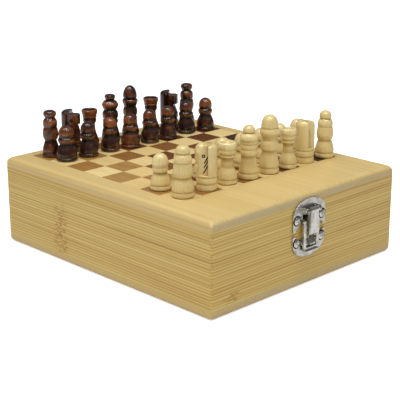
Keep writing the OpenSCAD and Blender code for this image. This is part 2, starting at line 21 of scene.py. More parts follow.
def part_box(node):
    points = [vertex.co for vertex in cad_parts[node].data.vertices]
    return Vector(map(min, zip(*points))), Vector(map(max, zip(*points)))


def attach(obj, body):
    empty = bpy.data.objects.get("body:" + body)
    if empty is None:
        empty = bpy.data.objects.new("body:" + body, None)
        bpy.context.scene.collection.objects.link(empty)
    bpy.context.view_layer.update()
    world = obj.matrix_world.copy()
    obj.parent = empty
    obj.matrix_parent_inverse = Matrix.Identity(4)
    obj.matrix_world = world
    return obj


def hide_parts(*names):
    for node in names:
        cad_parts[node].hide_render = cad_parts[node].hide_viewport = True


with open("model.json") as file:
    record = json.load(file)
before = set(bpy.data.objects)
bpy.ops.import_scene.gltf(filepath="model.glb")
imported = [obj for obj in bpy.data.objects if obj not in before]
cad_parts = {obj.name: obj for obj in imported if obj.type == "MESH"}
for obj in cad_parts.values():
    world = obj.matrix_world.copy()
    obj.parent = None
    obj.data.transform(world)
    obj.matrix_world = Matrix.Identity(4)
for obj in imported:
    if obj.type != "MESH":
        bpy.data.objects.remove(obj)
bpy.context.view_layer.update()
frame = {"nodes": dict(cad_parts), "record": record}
BODY_OF = {node: body for body, nodes in frame["record"]["behaviour"]["bodies"].items() for node in nodes}

MM = 0.001
LOG = logging.getLogger("chess_box")

# Settings of nodes that turn up often, and the number of a Mix node's colour output.
SMOOTH = {"interpolation_type": "SMOOTHSTEP"}
COLOURS = {"data_type": "RGBA"}
MIXED = 2

Station = tuple[float, float]
Run = Sequence[Station]


# ---------------------------------------------------------------- colours and shader nodes


def linear(hex_colour: str) -> tuple[float, float, float, float]:
    """Turns a colour written as sRGB hex into the linear colour that a shader reads.

    Args:
        hex_colour: the colour, such as "#c8a060".

    Returns:
        Red, green, blue and an alpha of 1.
    """
    channels = [int(hex_colour[k : k + 2], 16) / 255 for k in (1, 3, 5)]
    return (*(c / 12.92 if c <= 0.04045 else ((c + 0.055) / 1.055) ** 2.4 for c in channels), 1.0)


def add_node(
    tree: bpy.types.NodeTree, kind: str, settings: dict | None = None, inputs: dict | None = None
) -> bpy.types.Node:
    """Adds one node to a shader tree.

    Args:
        tree: the tree that the node goes into.
        kind: the node's type without its ShaderNode prefix.
        settings: properties of the node, by name.
        inputs: what goes into each input, by its number, name or identifier. A socket is linked, and
            anything else becomes the input's value.

    Returns:
        The new node.
    """
    node = tree.nodes.new("ShaderNode" + kind)
    for key, value in (settings or {}).items():
        setattr(node, key, value)
    for key, value in (inputs or {}).items():
        if isinstance(key, int):
            socket = node.inputs[key]
        else:
            socket = next(s for s in node.inputs if key in (s.identifier, s.name))
        if isinstance(value, bpy.types.NodeSocket):
            tree.links.new(value, socket)
        else:
            socket.default_value = value
    return node


def new_surface(name: str, **values: float) -> tuple[bpy.types.Material, bpy.types.NodeTree, bpy.types.Node]:
    """Makes a material that holds a principled shader.

    Args:
        name: the material's name.
        values: constant settings of the shader, by input name with underscores for spaces.

    Returns:
        The material, its node tree and its principled shader.
    """
    material = bpy.data.materials.new(name)
    material.use_nodes = True
    tree = material.node_tree
    shader = tree.nodes["Principled BSDF"]
    for key, value in values.items():
        shader.inputs[key.replace("_", " ")].default_value = value
    return material, tree, shader


@dataclass(frozen=True)
class Streaks:
    """Noise stretched to patches or streaks, which show where it is strong enough."""

    size: tuple[float, float, float]
    low: float = 0.35
    high: float = 0.65
    share: float = 1.0
    detail: float = 2.0

    def noise(
        self, tree: bpy.types.NodeTree, shift: bpy.types.NodeSocket | None = None
    ) -> bpy.types.NodeSocket:
        """Draws the noise itself.

        Args:
            tree: the tree that the nodes go into.
            shift: where given, moves the noise to another place for each value.

        Returns:
            The noise's strength, around 0.5.
        """
        place = add_node(tree, "TexCoord")
        scale = Vector(1 / (length * MM) for length in self.size)
        mapped = add_node(tree, "Mapping", None, {"Vector": place.outputs["Object"], "Scale": scale})
        inputs = {"Vector": mapped.outputs[0], "Scale": 1.0, "Detail": self.detail}
        if shift is not None:
            inputs["W"] = shift
        noise = add_node(tree, "TexNoise", {"noise_dimensions": "4D" if shift is not None else "3D"}, inputs)
        return noise.outputs[0]

    def amount(
        self, tree: bpy.types.NodeTree, shift: bpy.types.NodeSocket | None = None, start: float = 0.0
    ) -> bpy.types.NodeSocket:
        """Measures how much the streaks show, from start up to their share.

        Args:
            tree: the tree that the nodes go into.
            shift: where given, moves the noise to another place for each value.
            start: the result between the streaks.

        Returns:
            The amount.
        """
        reach = {"From Min": self.low, "From Max": self.high, "To Min": start, "To Max": self.share}
        shown = add_node(tree, "MapRange", SMOOTH, {"Value": self.noise(tree, shift), **reach})
        return shown.outputs["Result"]

    def laid_over(
        self, tree: bpy.types.NodeTree, under: bpy.types.NodeSocket | tuple, tint: str,
        shift: bpy.types.NodeSocket | None = None,
    ) -> bpy.types.NodeSocket:
        """Lays the streaks over a colour.

        Args:
            tree: the tree that the nodes go into.
            under: the colour below.
            tint: the streaks' colour, as sRGB hex.
            shift: where given, moves the noise to another place for each value.

        Returns:
            The streaked colour.
        """
        colours = {"Factor_Float": self.amount(tree, shift), "A_Color": under, "B_Color": linear(tint)}
        return add_node(tree, "Mix", COLOURS, colours).outputs[MIXED]


# ---------------------------------------------------------------- finishes


class Axis(Enum):
    """An axis of the box."""

    X = 0
    Y = 1
    Z = 2


@dataclass(frozen=True)
class Knot:
    """A band of short dark dashes across the fibres, where the bamboo's culm had a node."""

    along: float
    across: float
    reach: float
    width: float = 3.2


@dataclass(frozen=True)
class LacqueredBamboo:
    """Bamboo strips glued side by side, sanded and sprayed with a satin lacquer.

    The eye sees long parallel fibres, strips of slightly different tone, thin brown veins, node marks
    and, where the strips are cut across, a greyer end grain in blocks.
    """

    name: str
    fibre: Axis
    stacked: Axis
    strip: float
    pale: str
    tan: str
    vein: str
    cut_end: str
    blush: str = "#d2b066"
    fibre_share: float = 0.6
    vein_share: float = 0.5
    fibre_width: float = 0.9
    joint_line: tuple[float, float] = (0.42, 0.12)
    joint_share: float = 0.12
    knots: tuple[Knot, ...] = ()

    def along_fibre(self, width: float, length: float) -> tuple[float, ...]:
        """Size of a streak that is width across the fibres and length along them."""
        return tuple(length if axis is self.fibre else width for axis in Axis)

    def strip_tone(self, tree: bpy.types.NodeTree, axes: bpy.types.Node) -> bpy.types.NodeSocket:
        """Gives each glued strip its own number between 0 and 1."""
        count = add_node(
            tree, "Math", {"operation": "DIVIDE"}, {0: axes.outputs[self.stacked.value], 1: self.strip * MM}
        )
        number = add_node(tree, "Math", {"operation": "FLOOR"}, {0: count.outputs[0]})
        tone = add_node(tree, "TexWhiteNoise", {"noise_dimensions": "1D"}, {"W": number.outputs[0]})
        return tone.outputs["Value"]

    def joint_lines(
        self, tree: bpy.types.NodeTree, axes: bpy.types.Node, tone: bpy.types.NodeSocket
    ) -> bpy.types.NodeSocket:
        """Draws the joints between the strips as thin lines, of which each has its own strength."""
        count = add_node(
            tree, "Math", {"operation": "DIVIDE"}, {0: axes.outputs[self.stacked.value], 1: self.strip * MM}
        )
        apart = add_node(tree, "Math", {"operation": "PINGPONG"}, {0: count.outputs[0], 1: 0.5})
        edges = [width / self.strip for width in self.joint_line]
        line = add_node(
            tree, "MapRange", SMOOTH,
            {
                "Value": apart.outputs[0], "From Min": edges[0], "From Max": edges[1],
                "To Max": self.joint_share,
            },
        )
        own = add_node(tree, "MapRange", None, {"Value": tone, "To Min": 0.45})
        both = {0: line.outputs["Result"], 1: own.outputs["Result"]}
        return add_node(tree, "Math", {"operation": "MULTIPLY"}, both).outputs[0]

    def nearness(
        self, tree: bpy.types.NodeTree, value: bpy.types.NodeSocket, centre: float, reach: float
    ) -> bpy.types.NodeSocket:
        """Tells how near a value is to a centre.

        Args:
            tree: the tree that the nodes go into.
            value: the value.
            centre: the centre, in millimetres.
            reach: distance in millimetres from which the value counts as far away.

        Returns:
            1 at the centre, falling softly to 0.
        """
        away = add_node(tree, "Math", {"operation": "SUBTRACT"}, {0: value, 1: centre * MM})
        size = add_node(tree, "Math", {"operation": "ABSOLUTE"}, {0: away.outputs[0]})
        limits = {"Value": size.outputs[0], "From Min": reach * MM, "From Max": 0.25 * reach * MM}
        return add_node(tree, "MapRange", SMOOTH, limits).outputs["Result"]

    def knot_marks(self, tree: bpy.types.NodeTree, axes: bpy.types.Node) -> bpy.types.NodeSocket:
        """Draws the node marks: dashes that wander from one thin fibre layer to the next."""
        wander = Streaks(self.along_fibre(1.6, 300), 0.25, 0.75, 3.0 * MM, 1.0).amount(tree, start=-1.5 * MM)
        fleck = Streaks(self.along_fibre(0.8, 3.2), 0.4, 0.62, 0.85, 1.0).amount(tree)
        along = add_node(tree, "Math", {"operation": "ADD"}, {0: wander, 1: axes.outputs[self.fibre.value]})
        total = None
        for knot in self.knots:
            near = self.nearness(tree, along.outputs[0], knot.along, knot.width)
            level = self.nearness(tree, axes.outputs[self.stacked.value], knot.across, knot.reach)
            both = add_node(tree, "Math", {"operation": "MULTIPLY"}, {0: near, 1: level})
            mark = add_node(tree, "Math", {"operation": "MULTIPLY"}, {0: both.outputs[0], 1: fleck})
            if total is not None:
                mark = add_node(tree, "Math", {"operation": "MAXIMUM"}, {0: total, 1: mark.outputs[0]})
            total = mark.outputs[0]
        return total

    def end_grain(
        self, tree: bpy.types.NodeTree, tone: bpy.types.NodeSocket, colour: bpy.types.NodeSocket
    ) -> bpy.types.NodeSocket:
        """Shows the greyer, porous end grain, a block for each strip, where the fibres are cut across.

        Args:
            tree: the tree that the nodes go into.
            tone: each strip's own number.
            colour: colour of the long grain.

        Returns:
            The colour of both.
        """
        share = add_node(tree, "MapRange", None, {"Value": tone, "To Max": 0.45})
        blocks = add_node(
            tree, "Mix", COLOURS,
            {"Factor_Float": share.outputs[0], "A_Color": linear(self.cut_end), "B_Color": linear(self.tan)},
        )
        pitting = Streaks((0.9, 0.9, 0.9), 0.45, 0.7, 0.22, 1.0)
        pores = pitting.laid_over(tree, blocks.outputs[MIXED], self.vein)
        place = add_node(tree, "TexCoord")
        facing = add_node(tree, "SeparateXYZ", None, {0: place.outputs["Normal"]})
        straight = add_node(tree, "Math", {"operation": "ABSOLUTE"}, {0: facing.outputs[self.fibre.value]})
        cut_across = add_node(
            tree, "MapRange", SMOOTH, {"Value": straight.outputs[0], "From Min": 0.72, "From Max": 0.94}
        )
        both = {"Factor_Float": cut_across.outputs["Result"], "A_Color": colour, "B_Color": pores}
        return add_node(tree, "Mix", COLOURS, both).outputs[MIXED]

    def build(self) -> bpy.types.Material:
        """Builds the material."""
        material, tree, shader = new_surface(
            self.name, Roughness=0.45, IOR=1.5, Coat_Weight=0.12, Coat_Roughness=0.25
        )
        place = add_node(tree, "TexCoord")
        axes = add_node(tree, "SeparateXYZ", None, {0: place.outputs["Object"]})
        tone = self.strip_tone(tree, axes)
        offset = add_node(tree, "Math", {"operation": "MULTIPLY"}, {0: tone, 1: 40.0}).outputs[0]
        warmth = Streaks(self.along_fibre(self.strip * 2, 130), 0.3, 0.7, 0.5)
        colour = warmth.laid_over(tree, linear(self.pale), self.tan, offset)
        colour = Streaks(self.along_fibre(2.5, 70), 0.5, 0.7, 0.25).laid_over(tree, colour, self.blush)
        # Real fibre bundles are about 0.3 mm wide; they are drawn wider, so that they show.
        fibres = Streaks(self.along_fibre(self.fibre_width, 150), 0.38, 0.66, self.fibre_share, 3.0)
        colour = fibres.laid_over(tree, colour, self.tan, offset)
        veins = Streaks(self.along_fibre(self.fibre_width, 130), 0.55, 0.66, self.vein_share, 1.5)
        colour = veins.laid_over(tree, colour, self.vein, offset)
        glue = self.joint_lines(tree, axes, tone)
        glued = {"Factor_Float": glue, "A_Color": colour, "B_Color": linear(self.vein)}
        colour = add_node(tree, "Mix", COLOURS, glued).outputs[MIXED]
        if self.knots:
            scars = self.knot_marks(tree, axes)
            marked = {"Factor_Float": scars, "A_Color": colour, "B_Color": linear(self.vein)}
            colour = add_node(tree, "Mix", COLOURS, marked).outputs[MIXED]
        tree.links.new(self.end_grain(tree, tone, colour), shader.inputs["Base Color"])
        relief = add_node(
            tree, "Bump", None, {"Height": fibres.noise(tree, offset), "Distance": 0.02 * MM, "Strength": 0.4}
        )
        tree.links.new(relief.outputs[0], shader.inputs["Normal"])
        return material


@dataclass(frozen=True)
class InlaidVeneer:
    """Thin sliced veneer squares, glued in flush and lacquered with the lid.

    The eye sees a fine straight grain and a tone that differs from square to square, because each
    square was cut from another place of the sheet.
    """

    name: str
    tones: tuple[str, ...]
    vein: str
    side: float
    corner: Station
    spread: float
    lean: float

    def square_tone(self, tree: bpy.types.NodeTree, axes: bpy.types.Node) -> bpy.types.NodeSocket:
        """Gives each square its own tone from 0 to 1, which leans from the left to the right."""
        numbers = []
        for axis, start in zip((Axis.X, Axis.Y), self.corner):
            shifted = add_node(
                tree, "Math", {"operation": "SUBTRACT"}, {0: axes.outputs[axis.value], 1: start * MM}
            )
            count = add_node(
                tree, "Math", {"operation": "DIVIDE"}, {0: shifted.outputs[0], 1: self.side * MM}
            )
            numbers.append(add_node(tree, "Math", {"operation": "FLOOR"}, {0: count.outputs[0]}))
        cell = add_node(tree, "CombineXYZ", None, {0: numbers[0].outputs[0], 1: numbers[1].outputs[0]})
        chance = add_node(tree, "TexWhiteNoise", {"noise_dimensions": "3D"}, {"Vector": cell.outputs[0]})
        spread = add_node(
            tree, "Math", {"operation": "MULTIPLY"}, {0: chance.outputs["Value"], 1: self.spread}
        )
        tone = add_node(
            tree, "Math", {"operation": "MULTIPLY_ADD", "use_clamp": True},
            {0: numbers[0].outputs[0], 1: self.lean, 2: spread.outputs[0]},
        )
        return tone.outputs[0]

    def build(self) -> bpy.types.Material:
        """Builds the material."""
        material, tree, shader = new_surface(
            self.name, Roughness=0.45, IOR=1.5, Specular_IOR_Level=0.3, Coat_Weight=0.08, Coat_Roughness=0.2
        )
        place = add_node(tree, "TexCoord")
        axes = add_node(tree, "SeparateXYZ", None, {0: place.outputs["Object"]})
        tone = self.square_tone(tree, axes)
        ramp = add_node(tree, "ValToRGB", None, {"Fac": tone})
        stops = ramp.color_ramp.elements
        while len(stops) < len(self.tones):
            stops.new(0.5)
        for k, (stop, tone_hex) in enumerate(zip(stops, self.tones)):
            stop.position = k / (len(self.tones) - 1)
            stop.color = linear(tone_hex)
        offset = add_node(tree, "Math", {"operation": "MULTIPLY"}, {0: tone, 1: 60.0}).outputs[0]
        # Veneer pores are 0.1 mm wide and are drawn as streaks of 0.7 mm, so that they show.
        grain = Streaks((0.7, 14, 3), 0.4, 0.72, 0.4, 3.0)
        colour = grain.laid_over(tree, ramp.outputs["Color"], self.vein, offset)
        tree.links.new(colour, shader.inputs["Base Color"])
        relief = add_node(
            tree, "Bump", None, {"Height": grain.noise(tree, offset), "Distance": 0.02 * MM, "Strength": 0.4}
        )
        tree.links.new(relief.outputs[0], shader.inputs["Normal"])
        return material


@dataclass(frozen=True)
class GlossLacquer:
    """Close-grained wood turned on a lathe, stained or left pale, and dipped in gloss lacquer.

    The eye sees a deep wet coat with small sharp lights, colour that thins on the ridges and gathers
    in the grooves, with painted highlight on the ridges and painted shade in the grooves, and faint
    grain along the piece.
    """

    name: str
    groove: str
    body: str
    ridge: str
    streak: str
    streak_share: float
    unevenness: float
    coat: float
    gloss: float
    specular: float

    def build(self) -> bpy.types.Material:
        """Builds the material."""
        material, tree, shader = new_surface(
            self.name, Roughness=0.35, IOR=1.5, Specular_IOR_Level=self.specular,
            Coat_Weight=self.coat, Coat_Roughness=self.gloss, Coat_IOR=1.62,
        )
        # The ridge attribute lightens ridges with thinner stain and painted highlight, and darkens grooves
        # with pooled stain and painted shade.
        raised_part = add_node(tree, "Attribute", {"attribute_name": "ridge"})
        # Stain takes unevenly over patches of a few millimetres, and from piece to piece.
        cloud = Streaks((5.0, 5.0, 7.0), 0.3, 0.7, self.unevenness)
        batch = Streaks((24.0, 24.0, 60.0), 0.35, 0.65, self.unevenness, 1.0)
        stain_and_painted_light = raised_part.outputs["Fac"]
        for patches in (cloud, batch):
            amount = patches.amount(tree, start=-self.unevenness)
            stain_and_painted_light = add_node(tree, "Math", {"operation": "ADD"}, {0: stain_and_painted_light, 1: amount}).outputs[0]
        colour: bpy.types.NodeSocket | tuple = linear(self.groove)
        for low, high, tint in ((0.05, 0.5, self.body), (0.5, 0.95, self.ridge)):
            reached = add_node(tree, "MapRange", SMOOTH, {"Value": stain_and_painted_light, "From Min": low, "From Max": high})
            layers = {"Factor_Float": reached.outputs["Result"], "A_Color": colour, "B_Color": linear(tint)}
            colour = add_node(tree, "Mix", COLOURS, layers).outputs[MIXED]
        # The wood's own grain is far finer than a pixel and is drawn 0.6 mm wide.
        grain = Streaks((0.6, 0.6, 12.0), 0.45, 0.75, self.streak_share, 3.0)
        tree.links.new(grain.laid_over(tree, colour, self.streak), shader.inputs["Base Color"])
        relief = add_node(
            tree, "Bump", None, {"Height": cloud.noise(tree), "Distance": 0.04 * MM, "Strength": 0.3}
        )
        tree.links.new(relief.outputs[0], shader.inputs["Normal"])
        return material


@dataclass(frozen=True)
class PlatedSheet:
    """Stamped sheet metal with bright plating.

    The eye sees a mirror that is a little soft, with fine rubbing marks and duller patches.
    """

    name: str
    metal: str
    dull: str
    roughness: float

    def build(self) -> bpy.types.Material:
        """Builds the material."""
        material, tree, shader = new_surface(self.name, Metallic=1.0)
        patches = Streaks((3.0, 3.0, 3.0), 0.4, 0.75, 1.0, 3.0)
        colour = patches.laid_over(tree, linear(self.metal), self.dull)
        tree.links.new(colour, shader.inputs["Base Color"])
        rubbed = Streaks((3.0, 3.0, 3.0), 0.3, 0.8, self.roughness * 1.4, 3.0)
        tree.links.new(rubbed.amount(tree, start=self.roughness * 0.8), shader.inputs["Roughness"])
        # Rubbing marks are hair-fine and are drawn 0.3 mm wide.
        marks = Streaks((5.0, 5.0, 0.3)).noise(tree)
        relief = add_node(tree, "Bump", None, {"Height": marks, "Distance": 0.02 * MM, "Strength": 0.25})
        tree.links.new(relief.outputs[0], shader.inputs["Normal"])
        return material


@dataclass(frozen=True)
class ScorchAndShadeFill:
    """A matt, nearly black finish with browner edges: wood that a hot cutter has scorched, and painted shade
    in the clasp's recesses.
    """

    name: str
    core: str
    edge: str

    def build(self) -> bpy.types.Material:
        """Builds the material."""
        material, tree, shader = new_surface(self.name, Roughness=0.7, Specular_IOR_Level=0.2)
        edges = Streaks((0.8, 0.8, 0.8), 0.4, 0.7)
        tree.links.new(edges.laid_over(tree, linear(self.core), self.edge), shader.inputs["Base Color"])
        return material


# ---------------------------------------------------------------- the modelling bench


def metres(x: float, y: float, z: float) -> Vector:
    """A point given in millimetres, in metres."""
    return Vector((x, y, z)) * MM


def node_box(node: str) -> tuple[Vector, Vector]:
    """Lowest and highest corner of a CAD node in millimetres."""
    low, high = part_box(node)
    return low / MM, high / MM


def deselect_all() -> None:
    """Leaves object mode with nothing selected."""
    if bpy.context.mode != "OBJECT":
        bpy.ops.object.mode_set(mode="OBJECT")
    bpy.ops.object.select_all(action="DESELECT")


def take(piece: bpy.types.Object) -> bpy.types.Object:
    """Makes one object the only selected and the active one."""
    deselect_all()
    piece.select_set(True)
    bpy.context.view_layer.objects.active = piece
    return piece


@contextmanager
def editing(piece: bpy.types.Object, kind: str = "FACE") -> Iterator[None]:
    """Opens a piece in edit mode with everything selected, and closes it at the end.

    Args:
        piece: the piece that is edited.
        kind: what is selected in edit mode: VERT, EDGE or FACE.
    """
    take(piece)
    bpy.ops.object.mode_set(mode="EDIT")
    bpy.ops.mesh.select_mode(type=kind)
    bpy.ops.mesh.select_all(action="SELECT")
    yield
    bpy.ops.object.mode_set(mode="OBJECT")


def pick_faces(wanted: Callable[[bmesh.types.BMFace], bool]) -> None:
    """In edit mode, selects just the faces that pass a test."""
    mesh = bpy.context.object.data
    shape = bmesh.from_edit_mesh(mesh)
    for face in shape.faces:
        face.select_set(False)
    for face in [f for f in shape.faces if wanted(f)]:
        face.select_set(True)
    bmesh.update_edit_mesh(mesh)


def pick_edges(wanted: Callable[[bmesh.types.BMEdge], bool]) -> None:
    """In edit mode, selects just the edges that pass a test."""
    mesh = bpy.context.object.data
    shape = bmesh.from_edit_mesh(mesh)
    for edge in shape.edges:
        edge.select_set(False)
    for edge in [e for e in shape.edges if wanted(e)]:
        edge.select_set(True)
    bmesh.update_edit_mesh(mesh)


def middle(edge: bmesh.types.BMEdge) -> Vector:
    """Middle of an edge in millimetres."""
    return (edge.verts[0].co + edge.verts[1].co) / (2 * MM)


def run_of(edge: bmesh.types.BMEdge) -> Vector:
    """Direction of an edge, with no sign."""
    way = (edge.verts[1].co - edge.verts[0].co).normalized()
    return Vector(abs(c) for c in way)


def block(name: str, low: Vector, high: Vector) -> bpy.types.Object:
    """Adds a block between two corners, as the start of a piece.

    Args:
        name: the piece's name.
        low: lowest corner in millimetres.
        high: highest corner in millimetres.

    Returns:
        The block, with its place and size in its mesh.
    """
    deselect_all()
    bpy.ops.mesh.primitive_cube_add(size=1, location=(low + high) / 2 * MM, scale=(high - low) * MM)
    piece = bpy.context.active_object
    piece.name = name
    bpy.ops.object.transform_apply(location=True, rotation=True, scale=True)
    return piece


def rod(
    name: str, radius: float, length: float, place: Vector, axis: Axis = Axis.Z, sides: int = 48
) -> bpy.types.Object:
    """Adds a rod along an axis, as the start of a piece or as a cutter.

    Args:
        name: the piece's name.
        radius: the rod's radius in millimetres.
        length: the rod's length in millimetres.
        place: the rod's middle in millimetres.
        axis: the axis that it lies along.
        sides: the number of flats round it.

    Returns:
        The rod, with its place and turn in its mesh.
    """
    turn = {Axis.X: (0, math.pi / 2, 0), Axis.Y: (math.pi / 2, 0, 0), Axis.Z: (0, 0, 0)}[axis]
    deselect_all()
    bpy.ops.mesh.primitive_cylinder_add(
        vertices=sides, radius=radius * MM, depth=length * MM, location=place * MM, rotation=turn
    )
    piece = bpy.context.active_object
    piece.name = name
    bpy.ops.object.transform_apply(location=True, rotation=True, scale=True)
    return piece


def apply_modifier(piece: bpy.types.Object, kind: str, **settings: object) -> None:
    """Puts one modifier on a piece and applies it.

    Args:
        piece: the piece that is changed.
        kind: the modifier's type.
        settings: its settings, by name.
    """
    take(piece)
    modifier = piece.modifiers.new(kind.title(), kind)
    for key, value in settings.items():
        setattr(modifier, key, value)
    bpy.ops.object.modifier_apply(modifier=modifier.name)


def ease_edges(piece: bpy.types.Object, width: float, steps: int = 2, angle: float = 30) -> None:
    """Rounds every edge of a piece that is sharper than an angle.

    Args:
        piece: the piece that is eased.
        width: width of the rounding in millimetres.
        steps: number of facets across the rounding.
        angle: least angle of an edge that is eased, in degrees.
    """
    apply_modifier(
        piece, "BEVEL", width=width * MM, segments=steps, limit_method="ANGLE",
        angle_limit=math.radians(angle), harden_normals=False,
    )


def carve(piece: bpy.types.Object, cutter: bpy.types.Object, **settings: object) -> None:
    """Cuts a piece with another shape, and throws the cutter away.

    Args:
        piece: the piece that is cut.
        cutter: the cutting shape.
        settings: further settings of the boolean, by name.
    """
    apply_modifier(piece, "BOOLEAN", object=cutter, operation="DIFFERENCE", solver="EXACT", **settings)
    bpy.data.objects.remove(cutter)


def join_pieces(pieces: Sequence[bpy.types.Object]) -> bpy.types.Object:
    """Joins several shapes into the first one.

    Args:
        pieces: the shapes, of which the first keeps its name.

    Returns:
        The joined object.
    """
    deselect_all()
    for piece in pieces:
        piece.select_set(True)
    bpy.context.view_layer.objects.active = pieces[0]
    bpy.ops.object.join()
    return pieces[0]


def copy_at(piece: bpy.types.Object, name: str, place: Matrix) -> bpy.types.Object:
    """Copies a piece with a mesh of its own, and moves that mesh.

    Args:
        piece: the piece that is copied.
        name: the copy's name.
        place: where the copy goes, as a transform in metres.

    Returns:
        The copy.
    """
    mesh = piece.data.copy()
    mesh.transform(place)
    copy = bpy.data.objects.new(name, mesh)
    bpy.context.scene.collection.objects.link(copy)
    return copy


def smooth(piece: bpy.types.Object, angle: float = 35, flat: bool = True) -> None:
    """Shades a piece smooth, apart from its sharper edges.

    Args:
        piece: the finished piece.
        angle: least angle of an edge that stays sharp, in degrees.
        flat: whether large faces stay flat between their roundings.
    """
    take(piece)
    bpy.ops.object.shade_smooth_by_angle(angle=math.radians(angle))
    if flat:
        apply_modifier(piece, "WEIGHTED_NORMAL", keep_sharp=True)


def welded_copy(node: str, name: str) -> bpy.types.Object:
    """Copies a CAD node's mesh, and joins its loose triangles to whole flat faces.

    Args:
        node: the CAD node.
        name: the copy's name.

    Returns:
        The copy.
    """
    source = frame["nodes"][node]
    piece = bpy.data.objects.new(name, source.data.copy())
    bpy.context.scene.collection.objects.link(piece)
    piece.data.materials.clear()
    take(piece)
    if piece.data.has_custom_normals:
        bpy.ops.mesh.customdata_custom_splitnormals_clear()
    with editing(piece, "VERT"):
        bpy.ops.mesh.remove_doubles(threshold=0.002 * MM)
        bpy.ops.mesh.dissolve_limited(angle_limit=math.radians(0.5))
    return piece


def hand_over(piece: bpy.types.Object, node: str, slot: str, *finishes: bpy.types.Material) -> None:
    """Gives a finished piece its material and lets it stand for its CAD node.

    Args:
        piece: the finished piece.
        node: the CAD node that it replaces, whose body carries it.
        slot: the record's material slot; not used.
        finishes: its materials, which replace what it has where any are given.
    """
    if finishes:
        piece.data.materials.clear()
        for finish in finishes:
            piece.data.materials.append(finish)
    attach(piece, BODY_OF[node])
    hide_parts(node)
    LOG.info("%s stands for %s with %d faces", piece.name, node, len(piece.data.polygons))


# ---------------------------------------------------------------- box


@dataclass
class BoxShell:
    """Lid and base of the box: two eased panels, eight mitred walls and the tray."""

    corner_round: float = 1.5
    top_round: float = 3.2
    foot_round: float = 2.6
    joint_ease: float = 0.12
    # Each edge of the seam is drawn out by this much, towards the other.
    seam_close: float = 0.09
    # Behind this y an edge of the seam ends a sloped face, and slides along it by this run a millimetre.
    slope_y: float = 80.0
    slope_run: float = 0.83
    inlay_gap: float = 0.2
    inlay_depth: float = 2.0
    strip: float = 17.5

    def panel_finish(self, name: str, pale: str, cut_end: str) -> bpy.types.Material:
        """Bamboo of a top or bottom panel, whose fibres run from front to back."""
        return LacqueredBamboo(
            name, Axis.Y, Axis.X, self.strip, pale, "#cdae68", "#b88d4a", cut_end,
            vein_share=0.2, fibre_width=0.9, fibre_share=0.4,
        ).build()

    def wall_finish(
        self, name: str, fibre: Axis, knots: tuple[Knot, ...], vein_share: float
    ) -> bpy.types.Material:
        """Bamboo of the walls, whose thin strips lie on each other."""
        return LacqueredBamboo(
            name, fibre, Axis.Z, 1.55, "#e1c878", "#c59d46", "#a87522", "#c6b07e",
            vein_share=vein_share, fibre_width=0.42, joint_share=0.6, knots=knots,
        ).build()

    def eased_panel(self, name: str, node: str, outer_z: float, ease: float) -> bpy.types.Object:
        """Models a panel with rounded corners and one rounded rim.

        Args:
            name: the panel's name.
            node: the CAD node that gives its plan.
            outer_z: height of the outside face.
            ease: rounding of the rim round the outside face.

        Returns:
            The panel.
        """
        low, high = node_box(node)

        def on_mitre(vertex: bmesh.types.BMVert) -> bool:
            """Whether a point is as far from the panel's side as from its front or back."""
            spot = vertex.co / MM
            inset = [min(spot[k] - low[k], high[k] - spot[k]) for k in (0, 1)]
            return abs(inset[0] - inset[1]) < 0.02

        panel = block(name, low, high)
        with editing(panel, "EDGE"):
            pick_edges(lambda e: abs(middle(e).z - outer_z) < 0.01)
            bpy.ops.mesh.bevel(offset=ease * MM, segments=8)
            pick_edges(lambda e: e.calc_length() < 2 * ease * MM and all(on_mitre(v) for v in e.verts))
            bpy.ops.mesh.bevel(offset=self.corner_round * MM, segments=4)
        return panel

    def sink_recess(self, panel: bpy.types.Object, top_z: float) -> None:
        """Sinks the recess of the inlaid squares into the top panel.

        Args:
            panel: the top panel.
            top_z: height of its upper face.
        """
        light, dark = node_box("light_squares"), node_box("dark_squares")
        low = Vector(min(a, b) - self.inlay_gap for a, b in zip(light[0], dark[0]))
        high = Vector(max(a, b) + self.inlay_gap for a, b in zip(light[1], dark[1]))
        with editing(panel):
            for corner, across in ((low, Axis.X), (high, Axis.X), (low, Axis.Y), (high, Axis.Y)):
                pick_faces(lambda f: f.normal.z > 0.99 and f.calc_center_median().z / MM > top_z - 0.01)
                normal = [float(axis is across) for axis in Axis]
                bpy.ops.mesh.bisect(plane_co=corner * MM, plane_no=normal)
            pick_faces(
                lambda f: f.normal.z > 0.99
                and all(low[k] < f.calc_center_median()[k] / MM < high[k] for k in (0, 1))
                and f.calc_center_median().z / MM > top_z - 0.01
            )
            bpy.ops.mesh.extrude_region_move(
                TRANSFORM_OT_translate={"value": (0, 0, -self.inlay_depth * MM)}
            )

    def build(self) -> None:
        """Models the shell and dresses it."""
        top_finish = self.panel_finish("bamboo_top", "#d9c084", "#c2af80")
        foot_finish = self.panel_finish("bamboo_foot", "#d2b878", "#c9b37c")
        left_knots = (Knot(34, 17, 21.0, 8.0),)
        front_knots = (Knot(-55.5, 8.5, 4.0, 5.5),)
        fronts = self.wall_finish("bamboo_front", Axis.X, front_knots, 0.55)
        sides = self.wall_finish("bamboo_side", Axis.Y, left_knots, 0.42)

        low, high = node_box("lid_top_panel")
        top = self.eased_panel("top_panel", "lid_top_panel", high.z, self.top_round)
        self.sink_recess(top, high.z)
        smooth(top)
        hand_over(top, "lid_top_panel", "bamboo_panel", top_finish)

        low, high = node_box("base_bottom_panel")
        bottom = self.eased_panel("bottom_panel", "base_bottom_panel", low.z, self.foot_round)
        smooth(bottom)
        hand_over(bottom, "base_bottom_panel", "bamboo_panel", foot_finish)

        for part, kind in (("base", "wall"), ("lid", "rail")):
            for side, finish in (("front", fronts), ("back", fronts), ("left", sides), ("right", sides)):
                node = f"{part}_{side}_{kind}"
                low, high = node_box(node)
                seam_z, close = (high.z, self.seam_close) if part == "base" else (low.z, -self.seam_close)
                wall = welded_copy(node, f"{node}_planed")
                with editing(wall, "EDGE"):
                    pick_edges(lambda e: abs(middle(e).z - seam_z) < 0.01)
                    bpy.ops.transform.translate(value=metres(0, 0, close))
